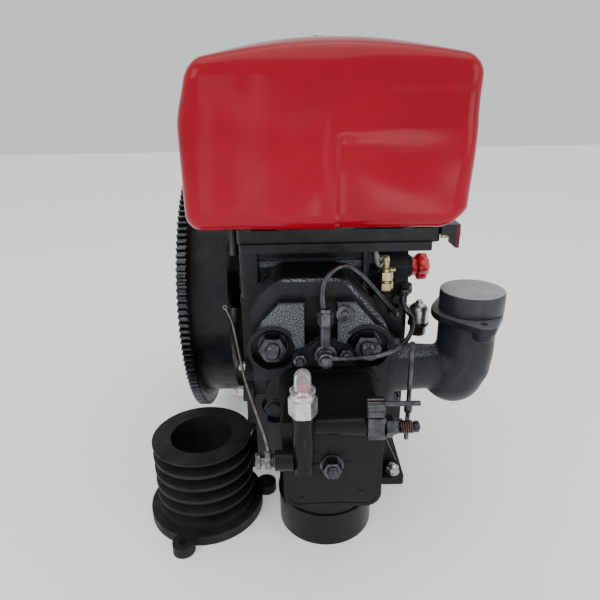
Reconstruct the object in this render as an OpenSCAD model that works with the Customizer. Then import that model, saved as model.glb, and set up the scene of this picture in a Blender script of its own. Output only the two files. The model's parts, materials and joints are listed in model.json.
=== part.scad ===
// Horizontal single-cylinder water-cooled engine, head end towards -Y, crankshaft along X.
// Base plane at z = 0, origin at the centre of the four holding-down holes.

/* [Cylinder] */
// Cylinder bore diameter
bore_d = 90; // [86:1:92]
// Piston stroke
stroke = 100; // [90:2:100]
// Length of the connecting rod between centres
rod_len = 165; // [162:1:168]
// Sideways place of the cylinder axis
cyl_x = -5; // [-6:1:-4]

/* [Crank and flywheel] */
// Height of the crankshaft above the base
crank_z = 234; // [232:1:236]
// Distance of the crankshaft behind the origin
crank_y = 99; // [98:1:100]
// Number of teeth on the starter ring
ring_teeth = 138; // [136:1:139]
// Module of all gear teeth
gear_m = 3; // [2.9:0.1:3]
// Teeth on the crankshaft gear, half of the camshaft gear's
crank_teeth = 24; // [22:1:24]

/* [Tank] */
// Width of the fuel tank
tank_w = 270; // [250:1:272]
// Depth of the fuel tank
tank_d = 222; // [200:1:225]
// Height of the fuel tank
tank_h = 172; // [166:1:174]

/* [Base] */
// Spacing of the holding-down holes across the engine
foot_x = 206; // [200:1:210]
// Spacing of the holding-down holes along the engine
foot_y = 180; // [176:1:184]

/* [Belt pulley] */
// Number of belt grooves
grooves = 5; // [3:1:5]
// Pitch of the belt grooves
groove_pitch = 19; // [18:0.5:19]
// Outer radius of the pulley
pulley_r = 65; // [60:1:65]
// Bore radius of the pulley
pulley_bore = 41; // [36:1:42]

/* [Hidden] */
$fn = 64;
run = 0.05;                       // running clearance on a radius
deck_y = -170;                    // joint face between crankcase and cylinder head
head_y = -238;                    // front face of the head casting
pad_y = -250;                     // front face of the raised pad on the head
bore_r = bore_d / 2;
liner_r = bore_r + 4;
pin_y = crank_y - rod_len;        // piston pin at mid stroke
piston_top = pin_y - 46;
web_r = 78;
ring_pitch_r = ring_teeth * gear_m / 2;
wheel_r = ring_pitch_r - 22;      // flywheel rim behind the starter ring
cam_teeth = 2 * crank_teeth;
gear_gap = gear_m * (crank_teeth + cam_teeth) / 2;
cam_angle = 45;                   // camshaft sits in front of and below the crankshaft
cam_y = crank_y - gear_gap * cos(cam_angle);
cam_z = crank_z - gear_gap * sin(cam_angle);
valve_dx = 22;                    // valves and pushrods each side of the cylinder axis
valve_z = 214;
rocker_z = (valve_z + cam_z) / 2;
rocker_arm = (valve_z - cam_z) / 2;
rocker_y = -292;
foot_hole_r = 7;
foot_plate = 12;
feet_bolts = [[106, -136], [106, 150], [-106, -50], [-106, 150]];
case_left = -98;                  // outer face of the wall on the flywheel's side
stud_dx = 51.5;
stud_z = [195, 273];
cover_y = -330;                    // front face of the rocker cover
port_y = -195;
port_z = 215;
port_bolt = 38;                   // intake flange bolts above and below the port
elbow_x = 174;                    // axis of the elbow's upright end
elbow_top = 293;
flange_turn = -84;                // direction of the elbow flange's long axis
flange_hole_r = 46.5;
injector_z = 272;
drum_x = 3;
drum_y = -195;
drum_r = 62;
pulley_x = -159.5;
pulley_y = -178;
pulley_hole_r = 84;
pulley_turns = [-102, 18, 138];  // directions of the flange lobes
pulley_h = 14 + 6 + grooves * groove_pitch;
shaft_z = 197;                    // decompression shaft
shaft_y = -340;
knob_z = 319;
knob_y = -100;
knob_x = 121;
tank_x = -132;
tank_y = -280;
tank_z = 409;
cap_x = -3;
cap_y = -165;
dish_z = tank_z + tank_h - 10;    // floor of the filler's dish

// Routes of the pipes and the lever wire, chosen by hand
pressure_route = [[-1, -262, 322.6], [-3, -258, 334], [-2, -254, 345], [2, -250, 354], [10, -245, 361],
                  [20, -238, 363], [30, -228, 357], [46, -218, 341], [65, -206, 317],
                  [79, -195, 299], [87, -187, 289], [91, -180, 283]];
return_route = [[12, -277, 274], [20, -277, 274], [34, -278, 275], [50, -276, 276], [67, -267, 276],
                [85, -248, 275], [98, -223, 275], [105, -204, 278], [107, -190, 282],
                [103, -182, 288], [99, -177, 294], [99, -173, 301], [102, -170, 308]];
hose_routes = [[[75.5, -150, 344], [72, -150, 344], [68, -153, 350], [64, -160, 361], [62, -163, 369],
                [62, -163, 374.9]],
               [[75.5, -152, 336], [72, -152, 336], [68, -157, 342], [65, -164, 355], [64, -168, 368],
                [64, -168, 374.9]]];
wire_route = [[-60, -340, 204], [-60, -340, 212], [-63, -333, 221], [-69, -318, 229], [-85, -276, 250],
              [-94, -246, 269], [-103, -216, 290], [-112, -198, 301]];

// ---------- helpers ----------

// Cylinders along each axis, starting at p
module rod_x(p, len, r) { translate(p) rotate([0, 90, 0]) cylinder(h = len, r = r); }
module rod_y(p, len, r) { translate(p) rotate([-90, 0, 0]) cylinder(h = len, r = r); }
module rod_z(p, len, r) { translate(p) cylinder(h = len, r = r); }

// Hexagons along each axis, measured across flats
module hex_x(p, len, af) { translate(p) rotate([0, 90, 0]) cylinder(h = len, d = af / cos(30), $fn = 6); }
module hex_y(p, len, af) { translate(p) rotate([-90, 0, 0]) cylinder(h = len, d = af / cos(30), $fn = 6); }
module hex_z(p, len, af) { translate(p) cylinder(h = len, d = af / cos(30), $fn = 6); }

// Box from its lowest to its highest corner
module block(a, b) { translate(a) cube([b[0] - a[0], b[1] - a[1], b[2] - a[2]]); }

// Flat rectangle with true round corners
module round_rect(a, b, r) {
    translate([a[0] + r, a[1]]) square([b[0] - a[0] - 2 * r, b[1] - a[1]]);
    translate([a[0], a[1] + r]) square([b[0] - a[0], b[1] - a[1] - 2 * r]);
    for (x = [a[0] + r, b[0] - r], y = [a[1] + r, b[1] - r]) translate([x, y]) circle(r);
}

// Push an outline drawn in X and Z along Y, from y0 to y1
module slab_y(y0, y1) { translate([0, y1, 0]) rotate([90, 0, 0]) linear_extrude(y1 - y0) children(); }
// Push an outline drawn in Y and Z along X, from x0 to x1
module slab_x(x0, x1) { translate([x0, 0, 0]) rotate([90, 0, 90]) linear_extrude(x1 - x0) children(); }

// Box with round edges along Y, X or Z
module round_y(a, b, r) { slab_y(a[1], b[1]) round_rect([a[0], a[2]], [b[0], b[2]], r); }
module round_x(a, b, r) { slab_x(a[0], b[0]) round_rect([a[1], a[2]], [b[1], b[2]], r); }
module round_z(a, b, r) { translate([0, 0, a[2]]) linear_extrude(b[2] - a[2]) round_rect(a, b, r); }

// Vector helpers for the swept tubes
function unit(v) = v / norm(v);
function tangent(p, i) = unit(p[min(i + 1, len(p) - 1)] - p[max(i - 1, 0)]);

// Round tube swept along a list of points, closed at both ends; across is never along the route
module sweep(p, r, sides = 10, across = [1, 0, 0]) {
    n = len(p);
    rings = [for (i = [0 : n - 1]) let (t = tangent(p, i), u = unit(cross(t, across)), v = cross(t, u))
             for (k = [0 : sides - 1]) p[i] + r * (cos(360 * k / sides) * u + sin(360 * k / sides) * v)];
    walls = [for (i = [0 : n - 2], k = [0 : sides - 1]) let (a = i * sides + k, b = i * sides + (k + 1) % sides)
             [a, b, b + sides, a + sides]];
    ends = [[for (k = [sides - 1 : -1 : 0]) k], [for (k = [0 : sides - 1]) (n - 1) * sides + k]];
    polyhedron(points = rings, faces = concat([for (w = walls) [w[3], w[2], w[1], w[0]]],
               [for (e = ends) [for (k = [len(e) - 1 : -1 : 0]) e[k]]]));
}

// Outline of a spur gear with straight-sided teeth
function tooth(m, n, i) = let (step = 360 / n, a = i * step, r0 = m * (n / 2 - 1.25), r1 = m * (n / 2 + 0.9))
    [for (c = [[r0, -0.33], [r1, -0.12], [r1, 0.12], [r0, 0.33]])
     [c[0] * cos(a + c[1] * step), c[0] * sin(a + c[1] * step)]];
module gear_outline(m, n, turn = 0) {
    rotate(turn) polygon([for (i = [0 : n - 1], c = tooth(m, n, i)) c]);
}

// Hexagon nut with its washer and stud end, along -Y
module stud_end(p, af, nut, stud_r, out) {
    rod_y([p[0], p[1] - 3, p[2]], 3, af * 0.62);
    difference() {
        hex_y([p[0], p[1] - 3 - nut, p[2]], nut, af);
        rod_y([p[0], p[1] - 4 - nut, p[2]], nut + 2, stud_r);
    }
    rod_y([p[0], p[1] - 3 - nut - out, p[2]], 3 + nut + out, stud_r);
}

// ---------- crankcase ----------

module crankcase() {
    color("#1c1d1f") {
        difference() {
            union() {
                // base, wider walls above it, and the hopper
                round_x([-89, -125, 20], [79, 215, 110], 18);
                round_x([case_left, -125, 75], [79, 215, 330], 18);
                block([case_left, deck_y, 125], [58, -100, 300]);
                round_z([case_left, deck_y, 290], [58, 20, 375], 8);
                block([58, -120, 125], [79, -100, 330]);
                block([78, -60, 20], [88, 150, 40]);
            }
            // crank chamber, opened into the sump under the cylinder
            block([-75, -8, 32], [65, 200, 318]);
            block([-75, -110, 32], [65, -7, 112]);
            // water jacket and the hopper's mouth
            block([-84, -150, 176], [46, -24, 352]);
            block([-62, -142, 350], [34, 0, 376]);
            // framed pocket in the front wall above the head
            round_y([-76, deck_y - 1, 296], [50, deck_y + 9, 366], 9);
            // liner seat, cover hole and shaft bores
            rod_y([cyl_x, deck_y - 1, crank_z], 170, liner_r);
            rod_y([cyl_x, deck_y - 1, crank_z], 7, liner_r + 5);
            rod_x([case_left - 1, crank_y, crank_z], 26, 85);
            rod_x([60, crank_y, crank_z], 20, 22 + run);
            rod_x([-84, cam_y, cam_z], 20, 12 + run);
            rod_x([60, cam_y, cam_z], 20, 12 + run);
            for (s = [-1, 1]) {
                rod_y([cyl_x + s * valve_dx, deck_y - 1, cam_z], 200, 7);
                rod_y([cyl_x + s * valve_dx, -40, cam_z], 40, 11 + run);
                for (z = stud_z) rod_y([cyl_x + s * stud_dx, deck_y - 1, z], 13, 8);
            }
        }
        // rough ledge across the pocket
        block([-76, deck_y + 4, 341], [50, deck_y + 9.5, 348]);
    }
}

module cylinder_liner() {
    color("#8d9296") difference() {
        union() {
            rod_y([cyl_x, deck_y, crank_z], 168, liner_r);
            rod_y([cyl_x, deck_y, crank_z], 6, liner_r + 5);
        }
        rod_y([cyl_x, deck_y - 1, crank_z], 170, bore_r);
    }
}

module bearing_cover() {
    color("#1c1d1f") difference() {
        union() {
            rod_x([case_left - 12, crank_y, crank_z], 12, 104);
            rod_x([case_left - 1, crank_y, crank_z], 24, 84.8);
            rod_x([-120, crank_y, crank_z], 18, 46);
        }
        rod_x([-121, crank_y, crank_z], 60, 24 + run);
        for (i = [0 : 7]) cover_hole(i) rod_x([case_left - 13, 0, 0], 14, 4.2);
    }
}

module cover_hole(i) {
    a = i * 45 + 22.5;
    translate([0, crank_y + 95 * cos(a), crank_z + 95 * sin(a)]) children();
}

module gear_case_cover() {
    color("#1f2022") difference() {
        union() {
            round_x([79, -118, 60], [116, 213, 348], 26);
            rod_x([110, knob_y, knob_z], knob_x - 110, 15);
        }
        round_x([78, -111, 67], [110, 206, 341], 20);
        rod_x([108, knob_y, knob_z], 20, 10);
    }
}

module case_bolts() {
    color("#3a3c3f") {
        for (i = [0 : 7]) cover_hole(i) {
            hex_x([case_left - 18, 0, 0], 6, 13);
            rod_x([case_left - 12.5, 0, 0], 12.5, 4.2);
        }
        for (y = [-112, 48, 207], z = [80, 190, 292]) if (y != 48 || z != 190) hex_x([116, y, z], 6, 13);
    }
}

module foot(inner, y0, front_bolt) {
    // one rail: floor plate, upright web with its gussets
    difference() {
        union() {
            round_z([inner, y0, 0], [121, 165, foot_plate], 4);
            block([inner, y0 + 26, foot_plate - 4], [inner + 5, 160, 60]);
            for (y = [y0 + 26, 122]) slab_y(y, y + 7)
                polygon([[inner, 8], [119, 8], [inner + 9, 60], [inner, 60]]);
        }
        for (y = [-1, 1]) rod_z([foot_x / 2, y * foot_y / 2, -1], 14, foot_hole_r);
        for (y = [front_bolt, 150]) rod_z([106, y, -1], 14, 5);
    }
}

module mounting_feet() {
    color("#1c1d1f") {
        foot(88, -148, feet_bolts[0][1]);
        mirror([1, 0, 0]) foot(89, -104, feet_bolts[2][1]);
    }
}

module foot_bolts() {
    color("#c9c4b4") for (p = feet_bolts) {
        rod_z([p[0], p[1], foot_plate], 2.5, 10);
        hex_z([p[0], p[1], foot_plate + 2.5], 8, 15);
        rod_z([p[0], p[1], 0.5], 26, 5);
    }
}

// ---------- cylinder head ----------

module head_outline() {
    polygon([[-80, 125], [73, 125], [73, 283], [66, 297], [23, 347], [16, 349],
             [-46, 349], [-54, 345], [-69, 331], [-80, 312]]);
}

module cylinder_head() {
    color("#1a1b1d") difference() {
        union() {
            slab_y(head_y, deck_y - 1.5) head_outline();
            // raised pad that carries the injector and the upper stud nuts
            slab_y(pad_y, head_y + 1) polygon([[-79, 235], [70, 235], [70, 281], [32, 327],
                                               [-47, 327], [-67, 306], [-79, 285]]);
            slab_y(pad_y, head_y + 1) round_rect([-66, 125], [64, 240], 20);
            // plain round boss, and the raised rims of the upper counterbores
            rod_y([21, pad_y - 1.5, 314], 3, 9);
            for (s = [-1, 1]) rod_y([cyl_x + s * stud_dx, pad_y - 2.5, stud_z[1]], 4, 28);
        }
        // rims cut back round the injector's clamp and the rocker cover's flange
        block([-36.5, pad_y - 4, 250], [31, pad_y, 291]);
        block([-60, pad_y - 4, 240], [62, pad_y, 251.5]);
        // counterbores and holes of the four studs
        for (s = [-1, 1]) {
            rod_y([cyl_x + s * stud_dx, pad_y - 3, stud_z[1]], 17, 24);
            rod_y([cyl_x + s * stud_dx, pad_y - 1, stud_z[0]], 22, 16);
            for (z = stud_z) rod_y([cyl_x + s * stud_dx, pad_y - 3, z], 100, 8.5);
            rod_y([cyl_x + s * valve_dx, pad_y - 1, cam_z], 100, 8);
            rod_y([cyl_x + s * valve_dx, pad_y - 1, valve_z], 90, 4.5 + run);
            rod_y([cyl_x + s * valve_dx, deck_y - 7.5, valve_z], 10, 15.5);
        }
        // recess and bore of the injector
        round_y([-22, pad_y - 1, 262], [14, pad_y + 22, 329], 6);
        rod_y([0, pad_y - 1, injector_z], 90, 9);
        // inlet and exhaust ports, meeting the valve throats
        rod_x([10, port_y - 5, port_z], 70, 22);
        rod_x([-86, port_y - 15, valve_z], 20, 15);
        rod_x([-67, port_y - 15, valve_z], 41, 12);
        // threads of the port studs
        for (z = [-1, 1]) rod_x([60, port_y, port_z + z * port_bolt], 20, 5);
        for (y = [-30, 30]) rod_x([-86, port_y - 15 + y, valve_z], 20, 4);
    }
}

module head_gasket() {
    color("#6b6f73") difference() {
        slab_y(deck_y - 1.5, deck_y) intersection() {
            head_outline();
            translate([-80, 125]) square([138, 215]);
        }
        rod_y([cyl_x, deck_y - 3, crank_z], 5, bore_r + 1);
        for (s = [-1, 1]) {
            for (z = stud_z) rod_y([cyl_x + s * stud_dx, deck_y - 3, z], 5, 8.5);
            rod_y([cyl_x + s * valve_dx, deck_y - 3, cam_z], 5, 8);
        }
    }
}

module head_studs() {
    color("#2b2c2e") for (s = [-1, 1]) {
        stud_end([cyl_x + s * stud_dx, pad_y + 14, stud_z[1]], 27, 15, 8, 7);
        stud_end([cyl_x + s * stud_dx, pad_y + 21, stud_z[0]], 24, 13, 8, 3);
        for (z = stud_z) rod_y([cyl_x + s * stud_dx, pad_y + 13.5, z], 78, 8);
    }
}

module injector() {
    color("#77797c") {
        rod_y([0, -262, injector_z], 84, 8.9);
        rod_y([0, -268, injector_z], 18, 13);
        hex_y([0, -272, injector_z], 4.5, 19);
        // delivery neck that takes the pressure pipe's nut
        rod_z([0, -262, injector_z + 5], 34, 6);
        hex_z([0, -262, injector_z + 36], 14, 15);
    }
}

module injector_clamp() {
    color("#28292b") difference() {
        slab_y(-259, pad_y) union() {
            translate([-27, 266]) circle(8.5);
            translate([22, 271]) circle(8);
            translate([0, injector_z]) circle(17);
            polygon([[-27, 257.5], [22, 263], [22, 279], [0, 289], [-27, 274.5]]);
        }
        rod_y([0, -260, injector_z], 12, 13.01);
        // notch around the delivery neck
        block([-6.5, -260, 275], [6.5, -255.5, 290]);
        rod_y([-27, -260, 266], 12, 4);
        rod_y([22, -260, 271], 12, 4);
    }
}

module clamp_nuts() {
    color("#55575a") for (p = [[-27, 266], [22, 271]]) {
        hex_y([p[0], -266, p[1]], 7, 13);
        rod_y([p[0], -269, p[1]], 19, 4);
    }
}

module pressure_pipe() {
    color("#161719") sweep(pressure_route, 3, 10, [-0.5, 0.86, 0]);
}

module return_pipe() {
    color("#303236") {
        sweep(return_route, 2.7, 8, [0.35, 0.6, -0.7]);
        rod_y([0, -283, injector_z], 11, 8.5);
        rod_x([4, -277, 274], 8, 4.3);
    }
}

// ---------- rocker gear ----------

module cover_outline(grow) {
    round_rect([-46 - grow, 130 - grow], [54 + grow, 246 + grow], 16 + grow);
}

module rocker_cover() {
    color("#17181a") difference() {
        union() {
            slab_y(pad_y - 6, pad_y) cover_outline(5);
            intersection() {
                slab_y(cover_y, pad_y) cover_outline(0);
                // the top falls towards the front
                slab_x(-60, 70) polygon([[cover_y, 120], [pad_y, 120], [pad_y, 249], [cover_y, 233]]);
            }
            // half-round bulge along the upper front edge
            translate([-13, -329, 229]) rotate([0, 90, 0]) cylinder(h = 47, r1 = 8.5, r2 = 11);
        }
        intersection() {
            slab_y(-326, pad_y + 1) cover_outline(-4);
            slab_x(-60, 70) polygon([[-326, 120], [pad_y + 1, 120], [pad_y + 1, 245], [-326, 229]]);
        }
        rod_y([3, -340, 183], 30, 5);
    }
}

module cover_nut() {
    color("#4a4c50") {
        rod_y([3, cover_y - 1.5, 183], 1.5, 12);
        hex_y([3, -341, 183], 9.5, 17);
        rod_y([3, -347, 183], -302 + 347, 5);
    }
}

module rocker_shaft() {
    color("#8d9296") {
        rod_x([-40, rocker_y, rocker_z], 86, 7);
        // pedestals on the head; the middle one takes the cover's stud
        for (x = [-40, 38]) block([x, rocker_y - 9, rocker_z - 9], [x + 6, pad_y, rocker_z + 9]);
        block([-4, -302, rocker_z - 9], [10, pad_y, rocker_z + 9]);
    }
}

module rocker(x) {
    difference() {
        union() {
            rod_x([x - 6.5, rocker_y, rocker_z], 13, 12);
            block([x - 6, rocker_y - 4, rocker_z - rocker_arm], [x + 6, rocker_y + 4, rocker_z + rocker_arm]);
            for (z = [-rocker_arm, rocker_arm]) rod_x([x - 6, rocker_y, rocker_z + z], 12, 6);
        }
        rod_x([x - 8, rocker_y, rocker_z], 16, 7 + run);
    }
}

module inlet_rocker() { color("#8d9296") rocker(cyl_x + valve_dx); }
module exhaust_rocker() { color("#8d9296") rocker(cyl_x - valve_dx); }

module valve(x) {
    // stem, head and spring cup, with the spring shown as a plain sleeve of coils
    rod_y([x, rocker_y + 6.5, valve_z], deck_y - 2 - rocker_y - 6.5, 4.5);
    rod_y([x, deck_y - 5, valve_z], 3, 15);
    rod_y([x, rocker_y + 8, valve_z], 4, 13);
}

module inlet_valve() { color("#a5a8ab") valve(cyl_x + valve_dx); }
module exhaust_valve() { color("#a5a8ab") valve(cyl_x - valve_dx); }

module pushrod(x) {
    rod_y([x, rocker_y + 6.5, cam_z], -30 - rocker_y - 6.5, 5);
    rod_y([x, -31, cam_z], 25, 11);
}

module inlet_pushrod() { color("#8d9296") pushrod(cyl_x + valve_dx); }
module exhaust_pushrod() { color("#8d9296") pushrod(cyl_x - valve_dx); }

// ---------- fuel system ----------

module tank_form(inset) {
    // rounded box with a crowned top: low corners, shoulders, and a smaller ring of crown spheres
    hull() for (x = [-1, 1], y = [-1, 1], ring = [[18, 18, 4], [18, tank_h - 39, 0], [60, tank_h - 60, 24]]) {
        reach = ring[0] + ring[2];
        r = ring[0] - inset;
        translate([tank_x + tank_w / 2 + x * (tank_w / 2 - reach), tank_y + tank_d / 2 + y * (tank_d / 2 - reach),
                   tank_z + ring[1]]) sphere(r, $fn = 32);
    }
}

module fuel_tank() {
    color("#c01522") {
        difference() {
            tank_form(0);
            rod_z([cap_x, cap_y, dish_z], 30, 34);
            difference() {
                tank_form(2);
                rod_z([cap_x, cap_y, dish_z - 2], 30, 36);
            }
            rod_z([cap_x, cap_y, dish_z - 4], 10, 20);
        }
        difference() {
            rod_z([cap_x, cap_y, dish_z - 2], 6, 23);
            rod_z([cap_x, cap_y, dish_z - 4], 10, 20);
        }
    }
}

module tank_cap() {
    color("#8d9094") {
        difference() {
            rod_z([cap_x, cap_y, dish_z + 0.5], 9, 27);
            rod_z([cap_x, cap_y, dish_z - 1], 6.4, 24);
        }
        round_z([cap_x - 8, cap_y - 3, dish_z + 9], [cap_x + 8, cap_y + 3, dish_z + 18.5], 2.5);
    }
}

module tank_seat() {
    // cast plate that closes the hopper and carries the tank
    color("#1a1b1d") {
        round_z([-97, -192, 375], [134, 24, 391], 10);
        round_z([-93, -196, 366], [124, deck_y - 2, 376], 4);
    }
}

module tank_bracket() {
    color("#1a1b1d") {
        for (x = [-80, 60]) block([x, -185, 391], [x + 30, -80, tank_z]);
        // arm under the tank, its gusset, and the end plate that takes the strap's bolt
        block([134, -190, 382], [151, -150, 394]);
        slab_y(-190, -186) polygon([[141, 383], [151, 383], [151, 368], [148, 371]]);
        block([118, -190, 391], [135, -150, 394]);
        block([151, -190, 367], [155, -160, 394]);
        block([110, -188, 391], [130, -160, tank_z]);
    }
}

module tank_bolts() {
    color("#c7ab52") {
        hex_x([155, -178, 381], 4, 9);
        rod_x([137, -178, 379], 14, 3);
    }
}

module injection_pump() {
    color("#232427") {
        round_y([62, -163.8, 226], [101, -125.2, 303], 5);
        rod_z([80, -150, 300], 5, 12);
        hex_y([91, -174, 281], 11, 15);
        rod_y([92, -170, 298], 7, 5);
        rod_z([103, -158, 303], 12, 7);
        hex_z([103, -158, 308], 6, 16);
    }
}

module pump_fittings() {
    color("#b9a24a") {
        hex_z([80, -150, 305], 10, 18);
        rod_z([80, -150, 315], 3, 9.2);
        hex_z([80, -150, 318], 11, 17);
        rod_z([80, -150, 329], 4, 7.5);
        rod_z([80, -150, 333], 15, 4.4);
        rod_x([84, -150, 330], 8, 3);
    }
}

module fuel_hoses() {
    color("#8f9296") for (route = hose_routes) sweep(route, 2.6, 8, [0, 1, 0.2]);
}

module filter_head() {
    // domed head with the lug that holds it to the gear case
    color("#b3b5b8") {
        rod_z([128, -137, 255], 14, 12.8);
        translate([128, -137, 269]) sphere(12.8);
        block([112.8, -139, 262], [124, -118, 272]);
    }
}

module filter_bowl() {
    color("#4a4038") {
        rod_z([128, -137, 250], 5, 13.8);
        rod_z([128, -137, 236], 15, 10.5);
    }
}

// ---------- ports ----------

module elbow_flange(z0, z1, grow) {
    translate([elbow_x - 3, port_y + 4, z0]) rotate(flange_turn) linear_extrude(z1 - z0) {
        circle(41 + grow);
        for (s = [-1, 1]) translate([s * flange_hole_r, 0]) circle(14 + grow);
        for (s = [-1, 1]) polygon([for (q = [[0.28, 0.96], [1, 0], [0.28, -0.96]])
            q[1] == 0 ? [s * (flange_hole_r + 14 + grow), 0] : [s * 41 * q[0], 41 * q[1]]]);
    }
}

module elbow_path(wall) {
    // level pipe that widens towards the head, bulb at the corner, and upright neck
    translate([70, port_y + 2, port_z + 2]) rotate([0, 90, 0]) cylinder(h = 66, r1 = 28 - wall, r2 = 26 - wall);
    translate([elbow_x - 8, port_y + 4, port_z - 5]) sphere(37 - wall);
    rod_z([elbow_x - 1, port_y + 4, port_z - 5], elbow_top - port_z + 6, 33.5 - wall);
}

module intake_elbow() {
    color("#202225") difference() {
        union() {
            intersection() {
                elbow_path(0);
                block([73, -260, 160], [215, -140, elbow_top]);
            }
            elbow_flange(elbow_top - 9, elbow_top, 0);
            slab_x(73, 85) union() {
                translate([port_y, port_z]) circle(31);
                for (z = [-1, 1]) translate([port_y, port_z + z * port_bolt]) circle(11);
                translate([port_y - 11, port_z - port_bolt]) square([22, 2 * port_bolt]);
            }
        }
        elbow_path(6.5);
        for (z = [-1, 1]) rod_x([72, port_y, port_z + z * port_bolt], 20, 5);
        for (s = [-1, 1]) translate([elbow_x - 3, port_y + 4, 0]) rotate(flange_turn)
            rod_z([s * flange_hole_r, 0, elbow_top - 20], 30, 5);
    }
}

module elbow_bolts() {
    color("#3a3c3f") for (z = [-1, 1]) {
        hex_x([85, port_y, port_z + z * port_bolt], 7, 13);
        rod_x([62, port_y, port_z + z * port_bolt], 34, 5);
    }
}

module intake_cap() {
    color("#4f5154") difference() {
        rod_z([elbow_x, port_y + 4, elbow_top + 0.3], 25, 38);
        rod_z([elbow_x, port_y + 4, elbow_top - 1], 23, 35);
    }
}

module exhaust_flange() {
    color("#2a2321") difference() {
        slab_x(-92, -80) union() {
            translate([port_y - 15, valve_z]) circle(23);
            for (y = [-30, 30]) translate([port_y - 15 + y, valve_z]) circle(10);
            translate([port_y - 45, valve_z - 10]) square([60, 20]);
        }
        rod_x([-93, port_y - 15, valve_z], 14, 15);
        for (y = [-30, 30]) rod_x([-93, port_y - 15 + y, valve_z], 14, 4);
    }
}

module port_nuts() {
    color("#c9c7bd") for (y = [-30, 30]) {
        hex_x([-99, port_y - 15 + y, valve_z], 7, 13);
        rod_x([-104, port_y - 15 + y, valve_z], 32, 4);
    }
}

module oil_knob() {
    // lobed screw plug of the oil filler
    color("#c8141e") {
        rod_x([knob_x + 0.3, knob_y, knob_z], 7, 13);
        slab_x(knob_x + 6, knob_x + 21) translate([knob_y, knob_z]) union() {
            circle(16);
            for (i = [0 : 5]) rotate(i * 60) translate([16, 0]) circle(5.5);
        }
        rod_x([knob_x + 20, knob_y, knob_z], 5, 9);
        rod_x([knob_x - 12, knob_y, knob_z], 14, 10 - run);
    }
}

// ---------- oil pressure indicator ----------

module indicator_tube() {
    color("#1c1d1f") difference() {
        union() {
            rod_z([-25, shaft_y, 183], 67, 10);
            rod_y([-25, shaft_y, 228], cover_y - shaft_y, 8);
        }
        rod_z([-25, shaft_y, 190], 61, 6);
    }
}

module indicator_body() {
    color("#e9e7e0") difference() {
        union() {
            hex_z([-25, shaft_y, 250], 20, 24);
            rod_z([-25, shaft_y, 270], 3, 11);
        }
        rod_z([-25, shaft_y, 249], 25, 5);
    }
}

module indicator_dome() {
    color([0.9, 0.92, 0.95, 0.4]) difference() {
        union() {
            rod_z([-25, shaft_y, 273], 4, 12);
            rod_z([-25, shaft_y, 273], 16, 8);
            translate([-25, shaft_y, 289]) sphere(8);
        }
        rod_z([-25, shaft_y, 272], 17, 6);
        translate([-25, shaft_y, 289]) sphere(6);
    }
}

module indicator_float() {
    color("#d81e28") {
        rod_z([-25, shaft_y, 275], 8, 4.5);
        rod_z([-25, shaft_y, 252], 24, 2.5);
    }
}

// ---------- decompression and control levers ----------

module relief_housing() {
    color("#2a2b2e") difference() {
        union() {
            rod_x([-53, shaft_y, shaft_z], 17.8, 10);
            block([-46, shaft_y + 3, shaft_z - 8], [-36, cover_y, shaft_z + 8]);
        }
        rod_x([-54, shaft_y, shaft_z], 30, 4 + run);
    }
}

module relief_lever() {
    color("#8a8c8f") {
        rod_x([-70, shaft_y, shaft_z], 33.5, 4);
        rod_x([-72, shaft_y, shaft_z], 5, 8);
        rod_x([-63, shaft_y, shaft_z], 6, 8);
        sweep(wire_route, 1.6, 8);
    }
}

module relief_spring() {
    color("#a7a9ab") for (x = [-55.1, -53.7]) translate([x, shaft_y, shaft_z]) rotate([0, 90, 0])
        rotate_extrude() translate([6.2, 0]) circle(0.7, $fn = 16);
}

module lever_bracket() {
    color("#2b2c2f") {
        block([36, -341, 219], [54, cover_y - 0.2, 241]);
        slab_x(35, 52) translate([-335, 252]) union() {
            circle(9.5);
            for (i = [0 : 11]) rotate(i * 30) translate([9, 0]) circle(1.6);
        }
        hex_x([54, -335, 231], 12, 19);
        rod_x([66, -335, 230], 16, 4);
        rod_x([81, -335, 230], 6, 5);
        rod_x([52, -332, 254], 35, 2.6);
    }
}

module lever_spring() {
    color("#b9764c") for (i = [0 : 5]) translate([67.4 + i * 2.3, -335, 230]) rotate([0, 90, 0])
        rotate_extrude() translate([5.6, 0]) circle(0.8, $fn = 16);
}

module control_rod() {
    color("#2b2c2e") {
        rod_z([78, -321, 206], 107, 2.3);
        rod_z([78, -321, 238], 8, 4);
        rod_z([78, -321, 306], 7, 4);
    }
}

// ---------- running gear ----------

module crankshaft() {
    color("#8d9296") {
        rod_x([-205, crank_y, crank_z], 161, 24);
        for (x = [-45, 15]) rod_x([cyl_x + x + 5, crank_y, crank_z], 20, web_r);
        rod_x([34, crank_y, crank_z], 70, 22);
        translate([84, crank_y, crank_z]) rotate([90, 0, 90]) linear_extrude(14)
            gear_outline(gear_m, crank_teeth, 180 / crank_teeth + cam_angle + 180);
    }
}

module flywheel() {
    color("#1b1c1e") difference() {
        union() {
            rod_x([-180, crank_y, crank_z], 53, wheel_r);
            rod_x([-193, crank_y, crank_z], 14, wheel_r + 7);
        }
        // dished on the engine's side and on the outer side, leaving a web and a hub
        translate([-152, crank_y, crank_z]) rotate([0, 90, 0]) difference() {
            cylinder(h = 30, r = wheel_r - 30);
            cylinder(h = 30, r = 46);
        }
        translate([-194, crank_y, crank_z]) rotate([0, 90, 0]) difference() {
            cylinder(h = 22, r = wheel_r - 20);
            cylinder(h = 22, r = 102);
        }
        rod_x([-195, crank_y, crank_z], 80, 24);
        // seat of the nut, and the holes that take the belt pulley's flange
        rod_x([-194, crank_y, crank_z], 4, 40);
        for (i = [0 : 2]) translate([0, crank_y, crank_z]) rotate([i * 120 + 90, 0, 0])
            translate([-194, pulley_hole_r, 0]) rotate([0, 90, 0]) cylinder(h = 30, r = 6);
    }
}

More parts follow.
